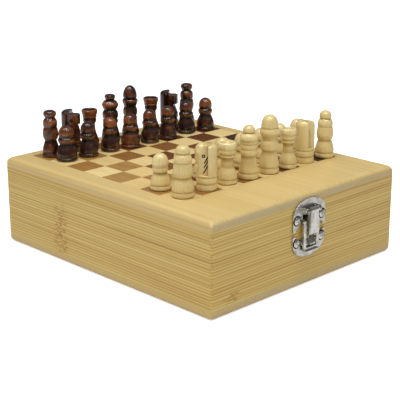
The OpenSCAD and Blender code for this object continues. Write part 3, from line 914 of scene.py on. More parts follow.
                    # The sloped faces behind the hinges nearly meet when the lid is open, so they stay.
                    pick_edges(
                        lambda e: abs(middle(e).z - seam_z - close) < 0.01
                        and all(v.co.y / MM > self.slope_y for v in e.verts)
                    )
                    bpy.ops.transform.translate(value=metres(0, -abs(close) * self.slope_run, 0))
                    pick_edges(lambda e: abs(middle(e).z - seam_z - close) < 0.01)
                    bpy.ops.mesh.bevel(offset=self.joint_ease * MM, segments=1)
                smooth(wall)
                hand_over(wall, node, "bamboo_wall", finish)

        tray = welded_copy("piece_tray", "tray_planed")
        ease_edges(tray, 0.5)
        smooth(tray)
        hand_over(tray, "piece_tray", "bamboo_wall", sides)


# ---------------------------------------------------------------- board


@dataclass
class InlaidBoard:
    """The 64 inlaid squares, flush with the lid."""

    side: float = 15.0
    gap: float = 0.1
    ease: float = 0.12
    count: int = 8

    def squares(self, name: str, node: str, corner: Vector, shade: int) -> bpy.types.Object:
        """Models the squares of one colour.

        Args:
            name: the piece's name.
            node: the CAD node, which gives the height of the squares.
            corner: lowest corner of the board.
            shade: 0 for the squares that start in the front left corner, 1 for the others.

        Returns:
            All squares of that colour.
        """
        low, high = node_box(node)
        tiles = []
        for row in range(2):
            column = (row + shade) % 2
            start = Vector((corner.x + column * self.side, corner.y + row * self.side, low.z))
            start += Vector((self.gap / 2, self.gap / 2, 0))
            size = Vector((self.side - self.gap, self.side - self.gap, high.z - low.z))
            tile = block(name, start, start + size)
            with editing(tile, "EDGE"):
                pick_edges(lambda e: abs(middle(e).z - high.z) < 0.01)
                bpy.ops.mesh.bevel(offset=self.ease * MM, segments=2)
            tiles.append(tile)
        pair = join_pieces(tiles)
        step = 2 * self.side * MM
        for way in ((step, 0, 0), (0, step, 0)):
            apply_modifier(
                pair, "ARRAY", count=self.count // 2, use_relative_offset=False,
                use_constant_offset=True, constant_offset_displace=way,
            )
        smooth(pair)
        return pair

    def build(self) -> None:
        """Models the board and dresses it."""
        light, dark = node_box("light_squares"), node_box("dark_squares")
        corner = Vector(min(a, b) for a, b in zip(light[0], dark[0]))
        corner -= Vector((self.gap / 2, self.gap / 2, 0))
        pale = InlaidVeneer(
            "pale_veneer", ("#e6cc8c", "#dcc080", "#ebd498"), "#c39c58", self.side,
            (corner.x, corner.y), 1.0, 0.0,
        ).build()
        brown = InlaidVeneer(
            "stained_veneer", ("#b48f50", "#a27036", "#693a19", "#3d2110"), "#452712", self.side,
            (corner.x, corner.y), 0.35, 0.1,
        ).build()
        for parity, (colour, veneer) in enumerate((("light", pale), ("dark", brown))):
            inlay = self.squares(f"{colour}_inlay", f"{colour}_squares", corner, parity)
            hand_over(inlay, f"{colour}_squares", f"{colour}_inlay", veneer)


# ---------------------------------------------------------------- turned pieces


def curve_through(run: Run, steps: int) -> list[Station]:
    """Draws a smooth curve through the stations of one run of an outline.

    Args:
        run: radius and height of each station.
        steps: number of points from one station to the next.

    Returns:
        The points of the curve.
    """
    stations = [run[0], *run, run[-1]]
    points = []
    for a, b, c, d in zip(stations, stations[1:], stations[2:], stations[3:]):
        for k in range(steps):
            t = k / steps
            weights = (
                (-t + 2 * t**2 - t**3) / 2, (2 - 5 * t**2 + 3 * t**3) / 2,
                (t + 4 * t**2 - 3 * t**3) / 2, (-(t**2) + t**3) / 2,
            )
            points.append(tuple(sum(w * p[i] for w, p in zip(weights, (a, b, c, d))) for i in (0, 1)))
    points.append(run[-1])
    return points


@dataclass(frozen=True)
class Turning:
    """A shape turned on a lathe. Its outline is smooth within a run, and creased from run to run."""

    name: str
    runs: tuple[Run, ...]
    cap_tone: float = 0.5
    steps: int = 4
    sides: int = 56

    def outline(self) -> list[Station]:
        """Radius and height of every point of the outline, from the foot to the top."""
        points: list[Station] = []
        for run in self.runs:
            points += [p for p in curve_through(run, self.steps) if not points or p != points[-1]]
        return [(max(r, 0.02), z) for r, z in points]

    def ridge_at(self, outline: Sequence[Station], place: int, reach: float = 2.4) -> float:
        """How far a point of the outline stands out from its surroundings.

        Args:
            outline: the outline.
            place: the point's number.
            reach: how far up and down the surroundings go, in millimetres.

        Returns:
            0 in a groove, 0.9 on a ridge.
        """
        radius, height = outline[place]
        near = [r for r, z in outline if abs(z - height) < reach]
        return min(0.9, max(0.0, 0.46 + (radius - sum(near) / len(near)) * 0.75))

    def turn(self) -> bpy.types.Object:
        """Turns the shape about the origin, by raising and widening one disc from point to point."""
        outline = self.outline()
        deselect_all()
        radius, height = outline[0]
        bpy.ops.mesh.primitive_circle_add(
            vertices=self.sides, radius=radius * MM, fill_type="NGON", location=(0, 0, height * MM)
        )
        piece = bpy.context.active_object
        piece.name = self.name
        bpy.ops.object.transform_apply(location=True)
        with editing(piece):
            for (r0, z0), (r1, z1) in zip(outline, outline[1:]):
                bpy.ops.mesh.extrude_region_move(TRANSFORM_OT_translate={"value": (0, 0, (z1 - z0) * MM)})
                bpy.ops.transform.resize(value=(r1 / r0, r1 / r0, 1), center_override=(0, 0, z1 * MM))
            bpy.ops.mesh.merge(type="COLLAPSE")
        with editing(piece):
            bpy.ops.mesh.normals_make_consistent(inside=False)
        self.mark_ridges(piece, outline)
        smooth(piece, 40, flat=False)
        return piece

    def mark_ridges(self, piece: bpy.types.Object, outline: Sequence[Station]) -> None:
        """Stores on each point of the piece how far it stands out.

        Args:
            piece: the turned piece.
            outline: its outline.
        """
        strengths = [self.ridge_at(outline, k) for k in range(len(outline))]
        # The whole cap gets its own tone from its widest ring up, falling a little towards its tip.
        cap = len(curve_through(self.runs[-1], self.steps))
        widest = max(range(len(outline) - cap, len(outline)), key=lambda k: outline[k][0])
        count = len(outline) - widest
        strengths[widest:] = [self.cap_tone + 0.12 - 0.3 * k / count for k in range(count)]
        ridge = piece.data.attributes.new("ridge", "FLOAT", "POINT")
        for vertex in piece.data.vertices:
            radius, height = math.hypot(vertex.co.x, vertex.co.y) / MM, vertex.co.z / MM
            nearest = min(
                range(len(outline)),
                key=lambda k: (outline[k][0] - radius) ** 2 + (outline[k][1] - height) ** 2,
            )
            ridge.data[vertex.index].value = strengths[nearest]


PAWN = (
    ((4.6, 0), (5.3, 0.45), (5.5, 1.3), (5.2, 2.3)),
    ((5.0, 2.5), (5.25, 3.2), (5.2, 4.3), (4.7, 6.0), (3.9, 7.8), (3.4, 9.0)),
    ((3.5, 9.2), (4.05, 9.8), (4.15, 10.8), (4.0, 11.8)),
    (
        (3.85, 11.95), (4.1, 12.7), (4.2, 13.9), (4.05, 15.3),
        (3.6, 16.7), (2.75, 17.9), (1.5, 18.7), (0, 18.95),
    ),
)
BISHOP = (
    ((4.5, 0), (5.1, 0.45), (5.35, 1.2), (5.3, 2.1), (5.0, 2.8)),
    ((4.9, 2.9), (5.2, 3.6), (5.2, 4.7), (4.9, 6.5), (4.3, 8.3), (3.75, 9.7)),
    ((3.7, 9.9), (4.15, 10.8), (4.6, 12.3), (4.65, 13.6), (4.4, 15.6), (4.15, 17.2)),
    ((3.95, 17.4), (4.15, 18.2), (4.15, 19.5), (3.8, 20.9), (3.2, 21.8)),
    ((2.9, 22.0), (3.25, 22.6), (3.35, 23.5), (3.1, 24.8), (2.3, 25.8), (1.2, 26.3), (0, 26.45)),
)
ROOK = (
    ((4.3, 0), (4.9, 0.45), (5.0, 1.2), (4.75, 2.2)),
    ((4.55, 2.4), (4.85, 3.1), (4.75, 4.3), (4.2, 6.2), (3.6, 7.7), (3.2, 8.6)),
    ((3.05, 8.8), (2.95, 10.5), (2.95, 12.5), (3.05, 13.8)),
    ((3.4, 14.0), (3.75, 14.3), (3.75, 15.1), (3.5, 15.6)),
    ((3.65, 15.8), (4.1, 16.3), (4.15, 17.2), (3.85, 18.1)),
    ((3.95, 18.3), (4.3, 18.9), (4.4, 20.3), (4.2, 21.3), (3.7, 21.7), (3.0, 21.7), (2.5, 21.4)),
    ((2.4, 21.3), (2.1, 20.7), (1.6, 20.3), (0, 20.2)),
)
QUEEN = (
    ((4.6, 0), (5.25, 0.45), (5.45, 1.4), (5.4, 2.4), (5.1, 3.1)),
    ((4.95, 3.3), (5.2, 3.9), (5.0, 5.4), (4.5, 7.4), (4.1, 9.6), (3.9, 12.0)),
    ((3.9, 12.2), (4.4, 12.9), (4.65, 14.0), (4.6, 15.1), (4.3, 15.8)),
    ((4.25, 15.9), (4.5, 16.5), (4.5, 17.7), (4.25, 18.4)),
    ((4.2, 18.6), (4.4, 19.1), (4.4, 19.9), (4.3, 20.2)),
    ((4.35, 20.3), (4.75, 21.1), (4.65, 22.4), (4.2, 23.4), (3.4, 24.2)),
    ((2.9, 24.4), (3.15, 25.0), (3.15, 26.0), (2.75, 27.2), (1.8, 28.1), (0.9, 28.45), (0, 28.55)),
)
KING = (
    ((4.5, 0), (5.15, 0.45), (5.35, 1.3), (5.3, 2.3), (5.0, 3.0)),
    ((4.9, 3.1), (5.25, 3.9), (5.2, 5.4), (4.8, 7.4), (4.3, 9.4), (4.0, 11.0), (3.9, 12.3)),
    ((4.0, 12.5), (4.5, 13.2), (4.65, 14.9), (4.6, 16.6), (4.25, 17.6)),
    ((4.05, 17.8), (4.05, 19.0), (4.3, 20.2), (4.75, 21.2)),
    ((4.8, 21.3), (5.1, 22.1), (5.1, 23.2), (4.7, 24.2)),
    ((4.25, 24.4), (4.5, 25.0), (4.4, 26.6), (4.0, 28.4), (3.2, 30.0), (2.0, 31.0), (0.9, 31.4), (0, 31.5)),
)
DARK_PAWN = (
    ((4.8, 0), (5.4, 0.45), (5.6, 1.0), (5.25, 1.7)),
    ((5.1, 1.85), (5.35, 2.6), (5.36, 4.2), (4.9, 6.0), (4.1, 7.8), (3.4, 9.1)),
    ((3.35, 9.25), (3.9, 10.0), (4.35, 11.2), (4.25, 12.2), (3.7, 13.0)),
    ((3.65, 13.1), (3.95, 14.1), (4.0, 15.3), (3.7, 16.9), (2.9, 18.3), (1.8, 19.15), (0.9, 19.5), (0, 19.6)),
)
DARK_BISHOP = (
    ((4.7, 0), (5.05, 0.4), (5.1, 1.1), (4.75, 1.8)),
    ((4.6, 1.9), (4.8, 2.6), (4.75, 4.2), (4.3, 6.0), (3.6, 8.2), (3.32, 9.3)),
    ((3.35, 9.5), (4.0, 10.4), (4.4, 12.0), (4.42, 13.4), (4.2, 15.2), (3.8, 16.4)),
    ((3.68, 16.6), (3.95, 17.6), (4.03, 19.1), (3.8, 20.5), (3.0, 21.6)),
    ((2.75, 21.9), (3.1, 22.7), (3.65, 23.8), (3.5, 25.1), (2.6, 25.9), (1.2, 26.25), (0, 26.3)),
)
DARK_ROOK = (
    ((4.7, 0), (5.1, 0.4), (5.2, 1.1), (4.8, 1.8)),
    ((4.8, 1.9), (5.1, 2.7), (5.0, 4.0), (4.3, 6.2), (3.6, 8.2), (3.2, 10.0), (3.05, 12.0), (2.9, 13.6)),
    ((3.1, 14.0), (3.6, 14.7), (3.8, 15.8), (3.65, 16.9)),
    ((3.55, 17.1), (3.95, 17.7), (3.95, 18.4)),
    ((3.8, 18.6), (4.2, 19.2), (4.5, 20.6), (4.5, 21.4), (4.2, 21.9), (3.8, 21.9), (3.4, 21.6)),
    ((3.3, 21.5), (2.9, 20.4), (2.4, 19.8), (0, 19.7)),
)
DARK_QUEEN = (
    ((5.0, 0), (5.4, 0.4), (5.45, 1.2), (5.1, 1.8)),
    ((5.0, 1.9), (5.4, 2.8), (5.3, 4.4), (4.8, 6.8), (4.2, 9.0), (3.9, 11.0)),
    ((3.9, 11.2), (4.4, 11.8), (4.5, 12.8), (4.1, 13.8)),
    ((3.95, 14.0), (4.5, 14.9), (4.65, 16.6), (4.4, 17.9), (3.7, 19.1)),
    ((3.6, 19.4), (4.2, 20.4), (4.85, 22.0), (4.7, 22.9), (3.8, 24.2), (2.6, 25.1)),
    ((2.4, 25.3), (2.9, 25.9), (3.1, 26.9), (2.8, 27.9), (1.8, 28.35), (0, 28.5)),
)
DARK_KING = (
    ((4.7, 0), (5.1, 0.4), (5.25, 1.1), (4.95, 1.8)),
    ((4.8, 1.9), (5.2, 2.8), (5.2, 4.2), (4.8, 6.2), (4.0, 9.2), (3.6, 11.2)),
    ((3.6, 11.4), (4.1, 12.0), (4.1, 12.7), (3.6, 13.3)),
    ((3.55, 13.5), (4.1, 14.4), (4.31, 15.85), (4.15, 17.4), (3.6, 18.8)),
    ((3.55, 19.1), (3.95, 20.2), (4.5, 21.8), (4.6, 22.7), (4.2, 23.4), (3.6, 23.7)),
    ((3.5, 23.8), (3.95, 24.3), (4.15, 25.2), (4.0, 26.8), (3.5, 28.6), (2.6, 30.2), (1.3, 31.3), (0, 31.6)),
)
LIGHT_SHAPES = {"pawn": PAWN, "bishop": BISHOP, "rook": ROOK, "queen": QUEEN, "king": KING}
DARK_SHAPES = {
    "pawn": DARK_PAWN, "bishop": DARK_BISHOP, "rook": DARK_ROOK, "queen": DARK_QUEEN, "king": DARK_KING,
}
KNIGHT_RINGS = (
    ((4.9, 0), (5.25, 0.5), (5.3, 1.9), (5.1, 3.0), (4.8, 3.4)),
    ((4.8, 3.5), (5.2, 4.0), (5.3, 5.4), (5.1, 6.6), (4.8, 7.1)),
    ((4.7, 7.2), (5.0, 7.5), (5.0, 8.2), (0, 8.3)),
)


@dataclass
class CarvedKnight:
    """A knight: two turned rings, and a stepped head with flat cheeks, an eye and strokes for a mane.

    It looks along +X and stands on the origin until it is set down.
    """

    name: str
    marked: tuple[int, ...] = (-1, 1)
    ring_h: float = 7.4
    top: float = 23.8
    radius: float = 5.3
    cheek: float = 4.1
    mane_x: float = -1.4
    step_x: float = 1.5
    muzzle_top: float = 19.9
    muzzle_bottom: float = 14.4
    chest: float = 9.3
    throat_x: float = 3.4
    throat_lean: float = 2.0
    eye: Station = (1.0, 18.3)
    eye_radius: float = 0.65
    cut_width: float = 0.6
    strokes: tuple[Station, ...] = ((-0.45, 16.6), (-0.4, 14.4), (-0.1, 11.4))
    stroke_len: float = 4.8
    ease: float = 0.3
    top_round: float = 2.0
    stroke_lean: float = 61

    def head(self) -> bpy.types.Object:
        """Carves the head out of a turned blank: flat cheeks in front of a round mane, muzzle and throat."""
        low, far = self.ring_h, 20.0
        blank = rod(
            self.name, self.radius, self.top - low, Vector((0, 0, (self.top + low) / 2)), sides=64
        )
        with editing(blank, "EDGE"):
            pick_edges(lambda e: middle(e).z > self.top - 0.01)
            bpy.ops.mesh.bevel(offset=self.top_round * MM, segments=6)
        for side in (-1, 1):
            edges = sorted((side * self.cheek, side * far))
            cheek_low = Vector((self.mane_x, edges[0], low + 0.5))
            carve(blank, block("cheek", cheek_low, Vector((far, edges[1], far * 2))))
        step = block("step", Vector((self.step_x, -far, self.muzzle_top)), Vector((far, far, far + self.top)))
        with editing(step, "EDGE"):
            pick_edges(lambda e: run_of(e).y > 0.9)
            bpy.ops.mesh.bevel(offset=0.7 * MM, segments=4)
        carve(blank, step)
        throat = block(
            "throat", Vector((self.throat_x, -far, self.chest)), Vector((far, far, self.muzzle_bottom))
        )
        with editing(throat, "EDGE"):
            pick_edges(
                lambda e: run_of(e).y > 0.9 and middle(e).x < far / 2 and middle(e).z < self.chest + 0.01
            )
            bpy.ops.transform.translate(value=metres(self.throat_lean, 0, 0))
            pick_edges(lambda e: run_of(e).y > 0.9 and middle(e).x < far / 2)
            bpy.ops.mesh.bevel(offset=0.6 * MM, segments=4)
        carve(blank, throat)
        ease_edges(blank, self.ease, 3, 40)
        return blank

    def marks(self) -> bpy.types.Object:
        """Shapes the cutters of the eyes and the mane strokes on the marked cheeks."""
        cutters = []
        for side in self.marked:
            deselect_all()
            bpy.ops.mesh.primitive_torus_add(
                location=metres(self.eye[0], side * self.cheek, self.eye[1]), rotation=(math.pi / 2, 0, 0),
                major_radius=self.eye_radius * MM, minor_radius=self.cut_width / 2 * MM,
                major_segments=24, minor_segments=8,
            )
            bpy.ops.object.transform_apply(location=True, rotation=True)
            cutters.append(bpy.context.active_object)
            for x, z in self.strokes:
                cut = rod("stroke", self.cut_width / 2, self.stroke_len, Vector((0, 0, 0)), Axis.X, 8)
                lean = Matrix.Rotation(math.radians(self.stroke_lean), 4, "Y")
                cut.data.transform(Matrix.Translation(metres(x, side * self.cheek, z)) @ lean)
                cutters.append(cut)
        return join_pieces(cutters)

    def carve_piece(self, wood: bpy.types.Material, scorch: bpy.types.Material) -> bpy.types.Object:
        """Makes the whole knight.

        Args:
            wood: finish of the wood.
            scorch: finish of the cut marks.

        Returns:
            The knight on the origin.
        """
        head = self.head()
        head.data.materials.append(wood)
        cutters = self.marks()
        cutters.data.materials.append(scorch)
        carve(head, cutters, material_mode="TRANSFER")
        ridge = head.data.attributes.new("ridge", "FLOAT", "POINT")
        for vertex in head.data.vertices:
            spot = vertex.co / MM
            edge = max(abs(spot.y) / self.cheek, math.hypot(spot.x, spot.y) / self.radius)
            # The corner where the cheek meets the mane is painted dark, as shade.
            shaded_corner = abs(spot.y) < self.cheek + 0.1 and abs(spot.x - self.mane_x) < 0.7
            ridge.data[vertex.index].value = 0.0 if shaded_corner else 0.3 + 0.3 * min(1.0, edge) ** 4
        rings = Turning(self.name + "_rings", KNIGHT_RINGS).turn()
        rings.data.materials.append(wood)
        knight = join_pieces([head, rings])
        smooth(knight, 35)
        return knight


@dataclass
class ChessSet:
    """The 32 pieces, light and dark, each where its CAD node stands."""

    seed: int = 11
    knight_yaw: dict[str, float] = field(
        default_factory=lambda: {
            "light_knight_left": 128, "light_knight_right": 348,
            "dark_knight_left": 309, "dark_knight_right": 313,
        }
    )
    dark_knight: dict[str, float] = field(
        default_factory=lambda: {
            "step_x": 0.2, "muzzle_top": 21.3, "muzzle_bottom": 16.2, "chest": 10.0, "throat_x": 2.6,
            "throat_lean": 2.7,
        }
    )
    girth: dict[str, float] = field(
        default_factory=lambda: {
            "light_bishop_left": 1.08, "light_bishop_right": 1.0, "dark_pawn_1": 1.07, "dark_pawn_2": 1.03,
            "light_rook_left": 1.08, "light_rook_right": 0.98,
        }
    )
    # Height of a piece's foot above its square, so that the two never share a face.
    stand_off: float = 0.02
    cap_tone: dict[str, float] = field(default_factory=lambda: {"pawn": 0.68, "king": 0.5})
    plain_knight: dict[str, float] = field(
        default_factory=lambda: {
            "muzzle_top": 22.5, "step_x": -0.8, "cheek": 3.4,
            "ease": 0.4, "throat_x": 4.6, "top_round": 3.3,
        }
    )

    def stand(self, node: str, yaw: float, girth: float) -> Matrix:
        """Where a piece stands.

        Args:
            node: the CAD node of the piece.
            yaw: turn about the upright axis, in degrees.
            girth: how thick it is next to its master.

        Returns:
            The transform from the origin to its square.
        """
        low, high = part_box(node)
        foot = Vector(((low.x + high.x) / 2, (low.y + high.y) / 2, low.z + self.stand_off * MM))
        turn = Matrix.Rotation(math.radians(yaw), 4, "Z")
        return Matrix.Translation(foot) @ turn @ Matrix.Diagonal((girth, girth, 1, 1))

    def build_colour(
        self, colour: str, slot: str, shapes: dict[str, tuple[Run, ...]],
        wood: bpy.types.Material, scorch: bpy.types.Material,
    ) -> None:
        """Turns and carves all pieces of one colour.

        Args:
            colour: "light" or "dark".
            slot: the record's material slot.
            shapes: outline of each kind of turned piece.
            wood: finish of the wood.
            scorch: finish of the cut marks.
        """
        chance = random.Random(self.seed + len(colour))
        masters = {}
        for kind, runs in shapes.items():
            cap_tone = self.cap_tone.get(kind, 0.5)
            masters[kind] = Turning(f"{colour}_{kind}_master", runs, cap_tone).turn()
            masters[kind].data.materials.append(wood)
        cuts = {} if colour == "light" else self.dark_knight
        masters["knight"] = CarvedKnight(f"{colour}_knight_master", **cuts).carve_piece(wood, scorch)
        # The cheek of the light right knight that the picture shows bears no marks.
        cuts = self.plain_knight if colour == "light" else cuts
        plain = CarvedKnight(f"{colour}_plain_cheek_master", marked=(1,), **cuts).carve_piece(wood, scorch)
        for node in sorted(n for n in frame["nodes"] if n.startswith(f"{colour}_") and "squares" not in n):
            kind = node.split("_")[1]
            master = plain if node == "light_knight_right" else masters[kind]
            yaw = self.knight_yaw.get(node, chance.uniform(0, 360))
            girth = self.girth.get(node, chance.uniform(0.985, 1.015))
            hand_over(copy_at(master, f"{node}_turned", self.stand(node, yaw, girth)), node, slot)
        for master in (*masters.values(), plain):
            bpy.data.objects.remove(master)

    def build(self) -> None:
        """Makes the whole set."""
        boxwood = GlossLacquer(
            "boxwood_lacquer", "#b8964e", "#e2cb8a", "#eedda4", "#caa85e", 0.34, 0.06, 0.6, 0.12, 0.5
        ).build()
        stained = GlossLacquer(
            "stained_lacquer", "#080303", "#30130a", "#8f4f22", "#140806", 0.6, 0.13, 0.9, 0.05, 0.12
        ).build()
        scorch = ScorchAndShadeFill("scorched_cut", "#33210e", "#5a3f1c").build()
        black = ScorchAndShadeFill("stained_cut", "#0d0605", "#241009").build()
        self.build_colour("light", "boxwood", LIGHT_SHAPES, boxwood, scorch)
        self.build_colour("dark", "stained_wood", DARK_SHAPES, stained, black)


# ---------------------------------------------------------------- clasp and hinges


@dataclass
class Clasp:
    """The nickel-plated clasp: two stamped plates, the hasp, its pin and four screws."""

    plate_ease: float = 0.3
    hasp_ease: float = 0.25
    plate_t: float = 0.9
    dimple_r: float = 2.8
    hasp_corner: float = 3.2
    dimple_depth: float = 0.7
    lug_reach: tuple[float, float] = (3.1, 5.3)
    lug_hole: tuple[float, float] = (-4.9, -1.9)
    slot_reach: tuple[float, float] = (3.02, 4.0)
    slot_run: tuple[float, float] = (-14.0, -4.9)
    arm_top: float = -5.2

    def press(
        self, sheet: bpy.types.Object, cutters: Sequence[bpy.types.Object], recess_shade: bpy.types.Material
    ) -> None:
        """Presses recesses into a sheet and paints them nearly black, as painted shade.

        Args:
            sheet: the sheet, which has its finish.
            cutters: shapes of the recesses.
            recess_shade: nearly black finish inside the recesses, a painted shade.
        """
        cutter = join_pieces(list(cutters))
        cutter.data.materials.clear()
        cutter.data.materials.append(recess_shade)
        carve(sheet, cutter, material_mode="TRANSFER")

    def dimples(self, screws: str, front: float) -> list[bpy.types.Object]:
        """Shapes the dimples round the screws of a plate.

        Args:
            screws: the CAD node of the screws.
            front: place of the plate's outer face along Y.

        Returns:
            The two cutters.
        """
        low, high = node_box(screws)
        head_r = (high.z - low.z) / 2
        head_z = (low.z + high.z) / 2
        return [
            rod("dimple", self.dimple_r, 2 * self.dimple_depth, Vector((x, front, head_z)), Axis.Y)
            for x in (low.x + head_r, high.x - head_r)
        ]

    def pair_of_blocks(
        self, reach: tuple[float, float], run: tuple[float, float], depth: tuple[float, float]
    ) -> list[bpy.types.Object]:
        """Shapes two blocks, left and right of the clasp's middle.

        Args:
            reach: inner and outer edge, from the middle.
            run: lower and upper edge, from the pivot.
            depth: outer and inner face along Y.

        Returns:
            The two blocks.
        """
        low, high = node_box("clasp_pin")
        middle_x, pivot_z = (low.x + high.x) / 2, (low.z + high.z) / 2
        blocks = []
        for side in (-1, 1):
            edges = sorted(middle_x + side * edge for edge in reach)
            start = Vector((edges[0], depth[0], pivot_z + run[0]))
            blocks.append(block("recess", start, Vector((edges[1], depth[1], pivot_z + run[1]))))
        return blocks

    def build(self) -> None:
        """Models the clasp and dresses it."""
        nickel = PlatedSheet("bright_nickel", "#dcdad4", "#b2afaa", 0.28).build()
        plate_nickel = PlatedSheet("plate_nickel", "#cbc8c1", "#9f9c96", 0.26).build()
        # Nearly black finish for the recesses below: painted shade.
        recess_shade = ScorchAndShadeFill("clasp_recess_shade", "#0b0a09", "#2a241c").build()
        wall_front = node_box("base_front_wall")[0].y
        face = wall_front - self.plate_t
        for node, screws in (
            ("clasp_upper_plate", "clasp_upper_screws"), ("clasp_lower_plate", "clasp_lower_screws")
        ):
            plate = welded_copy(node, f"{node}_stamped")
            ease_edges(plate, self.plate_ease, 3)
            plate.data.materials.append(plate_nickel)
            # Dimples round the screws, whose insides are painted nearly black as shade.
            cutters = self.dimples(screws, face)
            if node == "clasp_upper_plate":
                # The lugs are cut out of the plate and rolled up, which leaves a hole below each; it is drawn
                # as a shallow recess painted black as shade.
                cutters += self.pair_of_blocks(
                    self.lug_reach, self.lug_hole, (face - 0.05, face + self.dimple_depth)
                )
            self.press(plate, cutters, recess_shade)
            smooth(plate)
            hand_over(plate, node, "clasp_nickel")

        hasp = welded_copy("clasp_hasp", "clasp_hasp_plated")
        low, high = node_box("clasp_hasp")
        behind = high.y + 1.0
        for edge_x, side in ((low.x, 1), (high.x, -1)):
            centre = Vector(
                (edge_x + side * self.hasp_corner, (low.y + behind) / 2, low.z + self.hasp_corner)
            )
            sides = sorted((edge_x - side, centre.x))
            corner = block(
                "corner", Vector((sides[0], low.y - 1.0, low.z - 1.0)), Vector((sides[1], behind, centre.z))
            )
            carve(corner, rod("round", self.hasp_corner, 2 * (behind - low.y) + 4.0, centre, Axis.Y, 48))
            carve(hasp, corner)
        through = (low.y - 1.0, behind)
        openings = ((self.slot_reach, self.slot_run), ((self.slot_reach[0], 20.0), (self.arm_top, -0.5)))
        for reach, run in openings:
            for cutter in self.pair_of_blocks(reach, run, through):
                carve(hasp, cutter)
        ease_edges(hasp, self.hasp_ease)
        smooth(hasp)
        hand_over(hasp, "clasp_hasp", "clasp_nickel", nickel)
        for node, ease in (("clasp_pin", 0.2), ("clasp_upper_screws", 0.1), ("clasp_lower_screws", 0.1)):
            part = welded_copy(node, f"{node}_plated")
            ease_edges(part, ease)
            smooth(part)
            hand_over(part, node, "clasp_nickel", nickel)


@dataclass
class Hinges:
    """The two mortised butt hinges at the back, with their pins and screws."""

    ease: float = 0.12

    def build(self) -> None:
        """Models the hinges and dresses them."""
        brass = PlatedSheet("brass_plate", "#d9b765", "#b08f45", 0.28).build()
        wire = PlatedSheet("steel_wire", "#a9a9ab", "#838387", 0.32).build()
        for side in ("left", "right"):
            for part in ("base", "lid"):
                node = f"hinge_{side}_{part}_leaf"
                leaf = welded_copy(node, f"{node}_plated")
                ease_edges(leaf, self.ease)
                smooth(leaf)
                hand_over(leaf, node, "hinge_brass", brass)
            node = f"hinge_{side}_pin"
            pin = welded_copy(node, f"{node}_drawn")
            ease_edges(pin, self.ease)
            smooth(pin)
            hand_over(pin, node, "hinge_steel", wire)
        for node in ("hinge_base_screws", "hinge_lid_screws"):
            screws = welded_copy(node, f"{node}_plated")
            ease_edges(screws, self.ease / 2)
            smooth(screws)
            hand_over(screws, node, "hinge_brass", brass)


# ---------------------------------------------------------------- studio


@dataclass(frozen=True)
class Softbox:
    """A soft studio lamp, placed round the object."""

    name: str
    azimuth: float
    elevation: float
    distance: float
    width: float
    height: float
    power: float

    def hang(self, target: Vector) -> None:
        """Hangs the lamp so that it faces a point.

        Args:
            target: the point in metres.
        """
        turn, rise = math.radians(self.azimuth), math.radians(self.elevation)
        back = Vector((math.sin(turn) * math.cos(rise), -math.cos(turn) * math.cos(rise), math.sin(rise)))
        lamp = bpy.data.lights.new(self.name, "AREA")
        lamp.shape = "RECTANGLE"
        lamp.size = self.width
        lamp.size_y = self.height
        lamp.energy = self.power
        holder = bpy.data.objects.new(self.name, lamp)
        holder.location = target + back * self.distance
        holder.rotation_euler = back.to_track_quat("Z", "Y").to_euler()
        bpy.context.scene.collection.objects.link(holder)


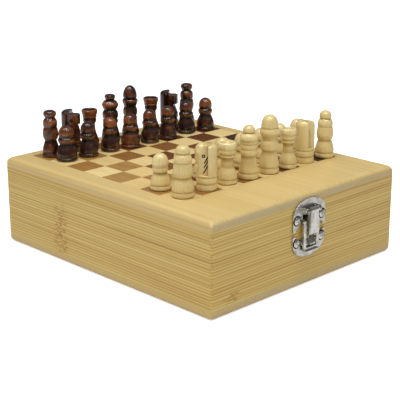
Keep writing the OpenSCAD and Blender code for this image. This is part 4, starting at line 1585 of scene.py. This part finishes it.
@dataclass
class Studio:
    """Camera, lamps, pale floor and white surroundings."""

    azimuth: float = -44.541
    elevation: float = 17.596
    distance: float = 0.708383
    target: Vector = field(default_factory=lambda: Vector((0.060362, 0.059092, 0.0)))
    lens: float = 99.755
    sensor: float = 36.0
    lamps: tuple[Softbox, ...] = (
        Softbox("left_strip", -115, 68, 0.9, 0.05, 0.6, 1.6),
        Softbox("near_left_strip", -75, 68, 0.9, 0.05, 0.6, 1.5),
        Softbox("near_right_strip", -35, 68, 0.9, 0.05, 0.6, 1.5),
        Softbox("right_strip", 10, 68, 0.9, 0.05, 0.6, 1.5),
    )
    room_light: tuple[float, float] = (0.36, 0.52)
    room_mirrored: tuple[float, float] = (0.1, 0.26)
    floor_glow: float = 0.6

    def camera(self) -> None:
        """Puts the camera where the photograph was taken from."""
        turn, rise = math.radians(self.azimuth), math.radians(self.elevation)
        back = Vector((math.sin(turn) * math.cos(rise), -math.cos(turn) * math.cos(rise), math.sin(rise)))
        data = bpy.data.cameras.new("camera")
        data.lens = self.lens
        data.sensor_width = self.sensor
        data.sensor_fit = "HORIZONTAL"
        data.clip_start = 0.01
        holder = bpy.data.objects.new("camera", data)
        holder.location = self.target + back * self.distance
        holder.rotation_euler = back.to_track_quat("Z", "Y").to_euler()
        bpy.context.scene.collection.objects.link(holder)
        bpy.context.scene.camera = holder

    def seen(self, tree: bpy.types.NodeTree, rays: bpy.types.Node) -> bpy.types.NodeSocket:
        """Tells what is seen or looked through from what lights the object or is mirrored in it.

        Args:
            tree: the node tree.
            rays: its Light Path node.

        Returns:
            1 for camera and transmission rays, and 0 for all others.
        """
        ways = {0: rays.outputs["Is Camera Ray"], 1: rays.outputs["Is Transmission Ray"]}
        return add_node(tree, "Math", {"operation": "MAXIMUM"}, ways).outputs[0]

    def surroundings(self) -> None:
        """Makes the world a pale room, seen as white, whose mirror image is dimmer, most of all low down."""
        world = bpy.data.worlds.new("room")
        bpy.context.scene.world = world
        world.use_nodes = True
        tree = world.node_tree
        tree.nodes.clear()
        rays = add_node(tree, "LightPath")
        place = add_node(tree, "TexCoord")
        axes = add_node(tree, "SeparateXYZ", None, {0: place.outputs["Generated"]})
        rooms = []
        for bottom, top in (self.room_light, self.room_mirrored):
            strength = add_node(
                tree, "MapRange", SMOOTH,
                {"Value": axes.outputs[Axis.Z.value], "To Min": bottom, "To Max": top},
            )
            rooms.append(add_node(tree, "Background", None, {"Strength": strength.outputs["Result"]}))
        white = add_node(tree, "Background", None, {"Color": (1, 1, 1, 1), "Strength": 1.0})
        for room in rooms:
            room.inputs["Color"].default_value = (1, 1, 1, 1)
        lit = add_node(
            tree, "MixShader", None,
            {0: rays.outputs["Is Glossy Ray"], 1: rooms[0].outputs[0], 2: rooms[1].outputs[0]},
        )
        layers = {0: self.seen(tree, rays), 1: lit.outputs[0], 2: white.outputs[0]}
        mix = add_node(tree, "MixShader", None, layers)
        add_node(tree, "OutputWorld", None, {"Surface": mix.outputs[0]})

    def floor(self) -> None:
        """Lays a pale floor that is seen as white, but isn't mirrored so, and keeps the object's shadow."""
        deselect_all()
        bpy.ops.mesh.primitive_plane_add(size=8)
        floor = bpy.context.active_object
        floor.name = "studio_floor"
        material = bpy.data.materials.new("floor_paper")
        material.use_nodes = True
        tree = material.node_tree
        tree.nodes.clear()
        rays = add_node(tree, "LightPath")
        paper = add_node(tree, "BsdfDiffuse", None, {"Color": (0.8, 0.8, 0.8, 1)})
        glow = add_node(tree, "Emission", None, {"Color": (1, 1, 1, 1), "Strength": self.floor_glow})
        lit = add_node(tree, "AddShader", None, {0: paper.outputs[0], 1: glow.outputs[0]})
        layers = {0: self.seen(tree, rays), 1: paper.outputs[0], 2: lit.outputs[0]}
        mix = add_node(tree, "MixShader", None, layers)
        add_node(tree, "OutputMaterial", None, {"Surface": mix.outputs[0]})
        floor.data.materials.append(material)

    def build(self) -> None:
        """Sets up the whole studio."""
        self.camera()
        self.surroundings()
        self.floor()
        for lamp in self.lamps:
            lamp.hang(Vector((0, 0, 0.03)))
        bpy.context.scene.view_settings.view_transform = "Standard"


def main() -> None:
    """Builds the studio and every sub-assembly."""
    logging.basicConfig(level=logging.INFO, format="%(name)s: %(message)s")
    for part in (Studio(), BoxShell(), InlaidBoard(), ChessSet(), Clasp(), Hinges()):
        part.build()
        LOG.info("%s is done", type(part).__name__)
    deselect_all()


if __name__ == "__main__":
    main()
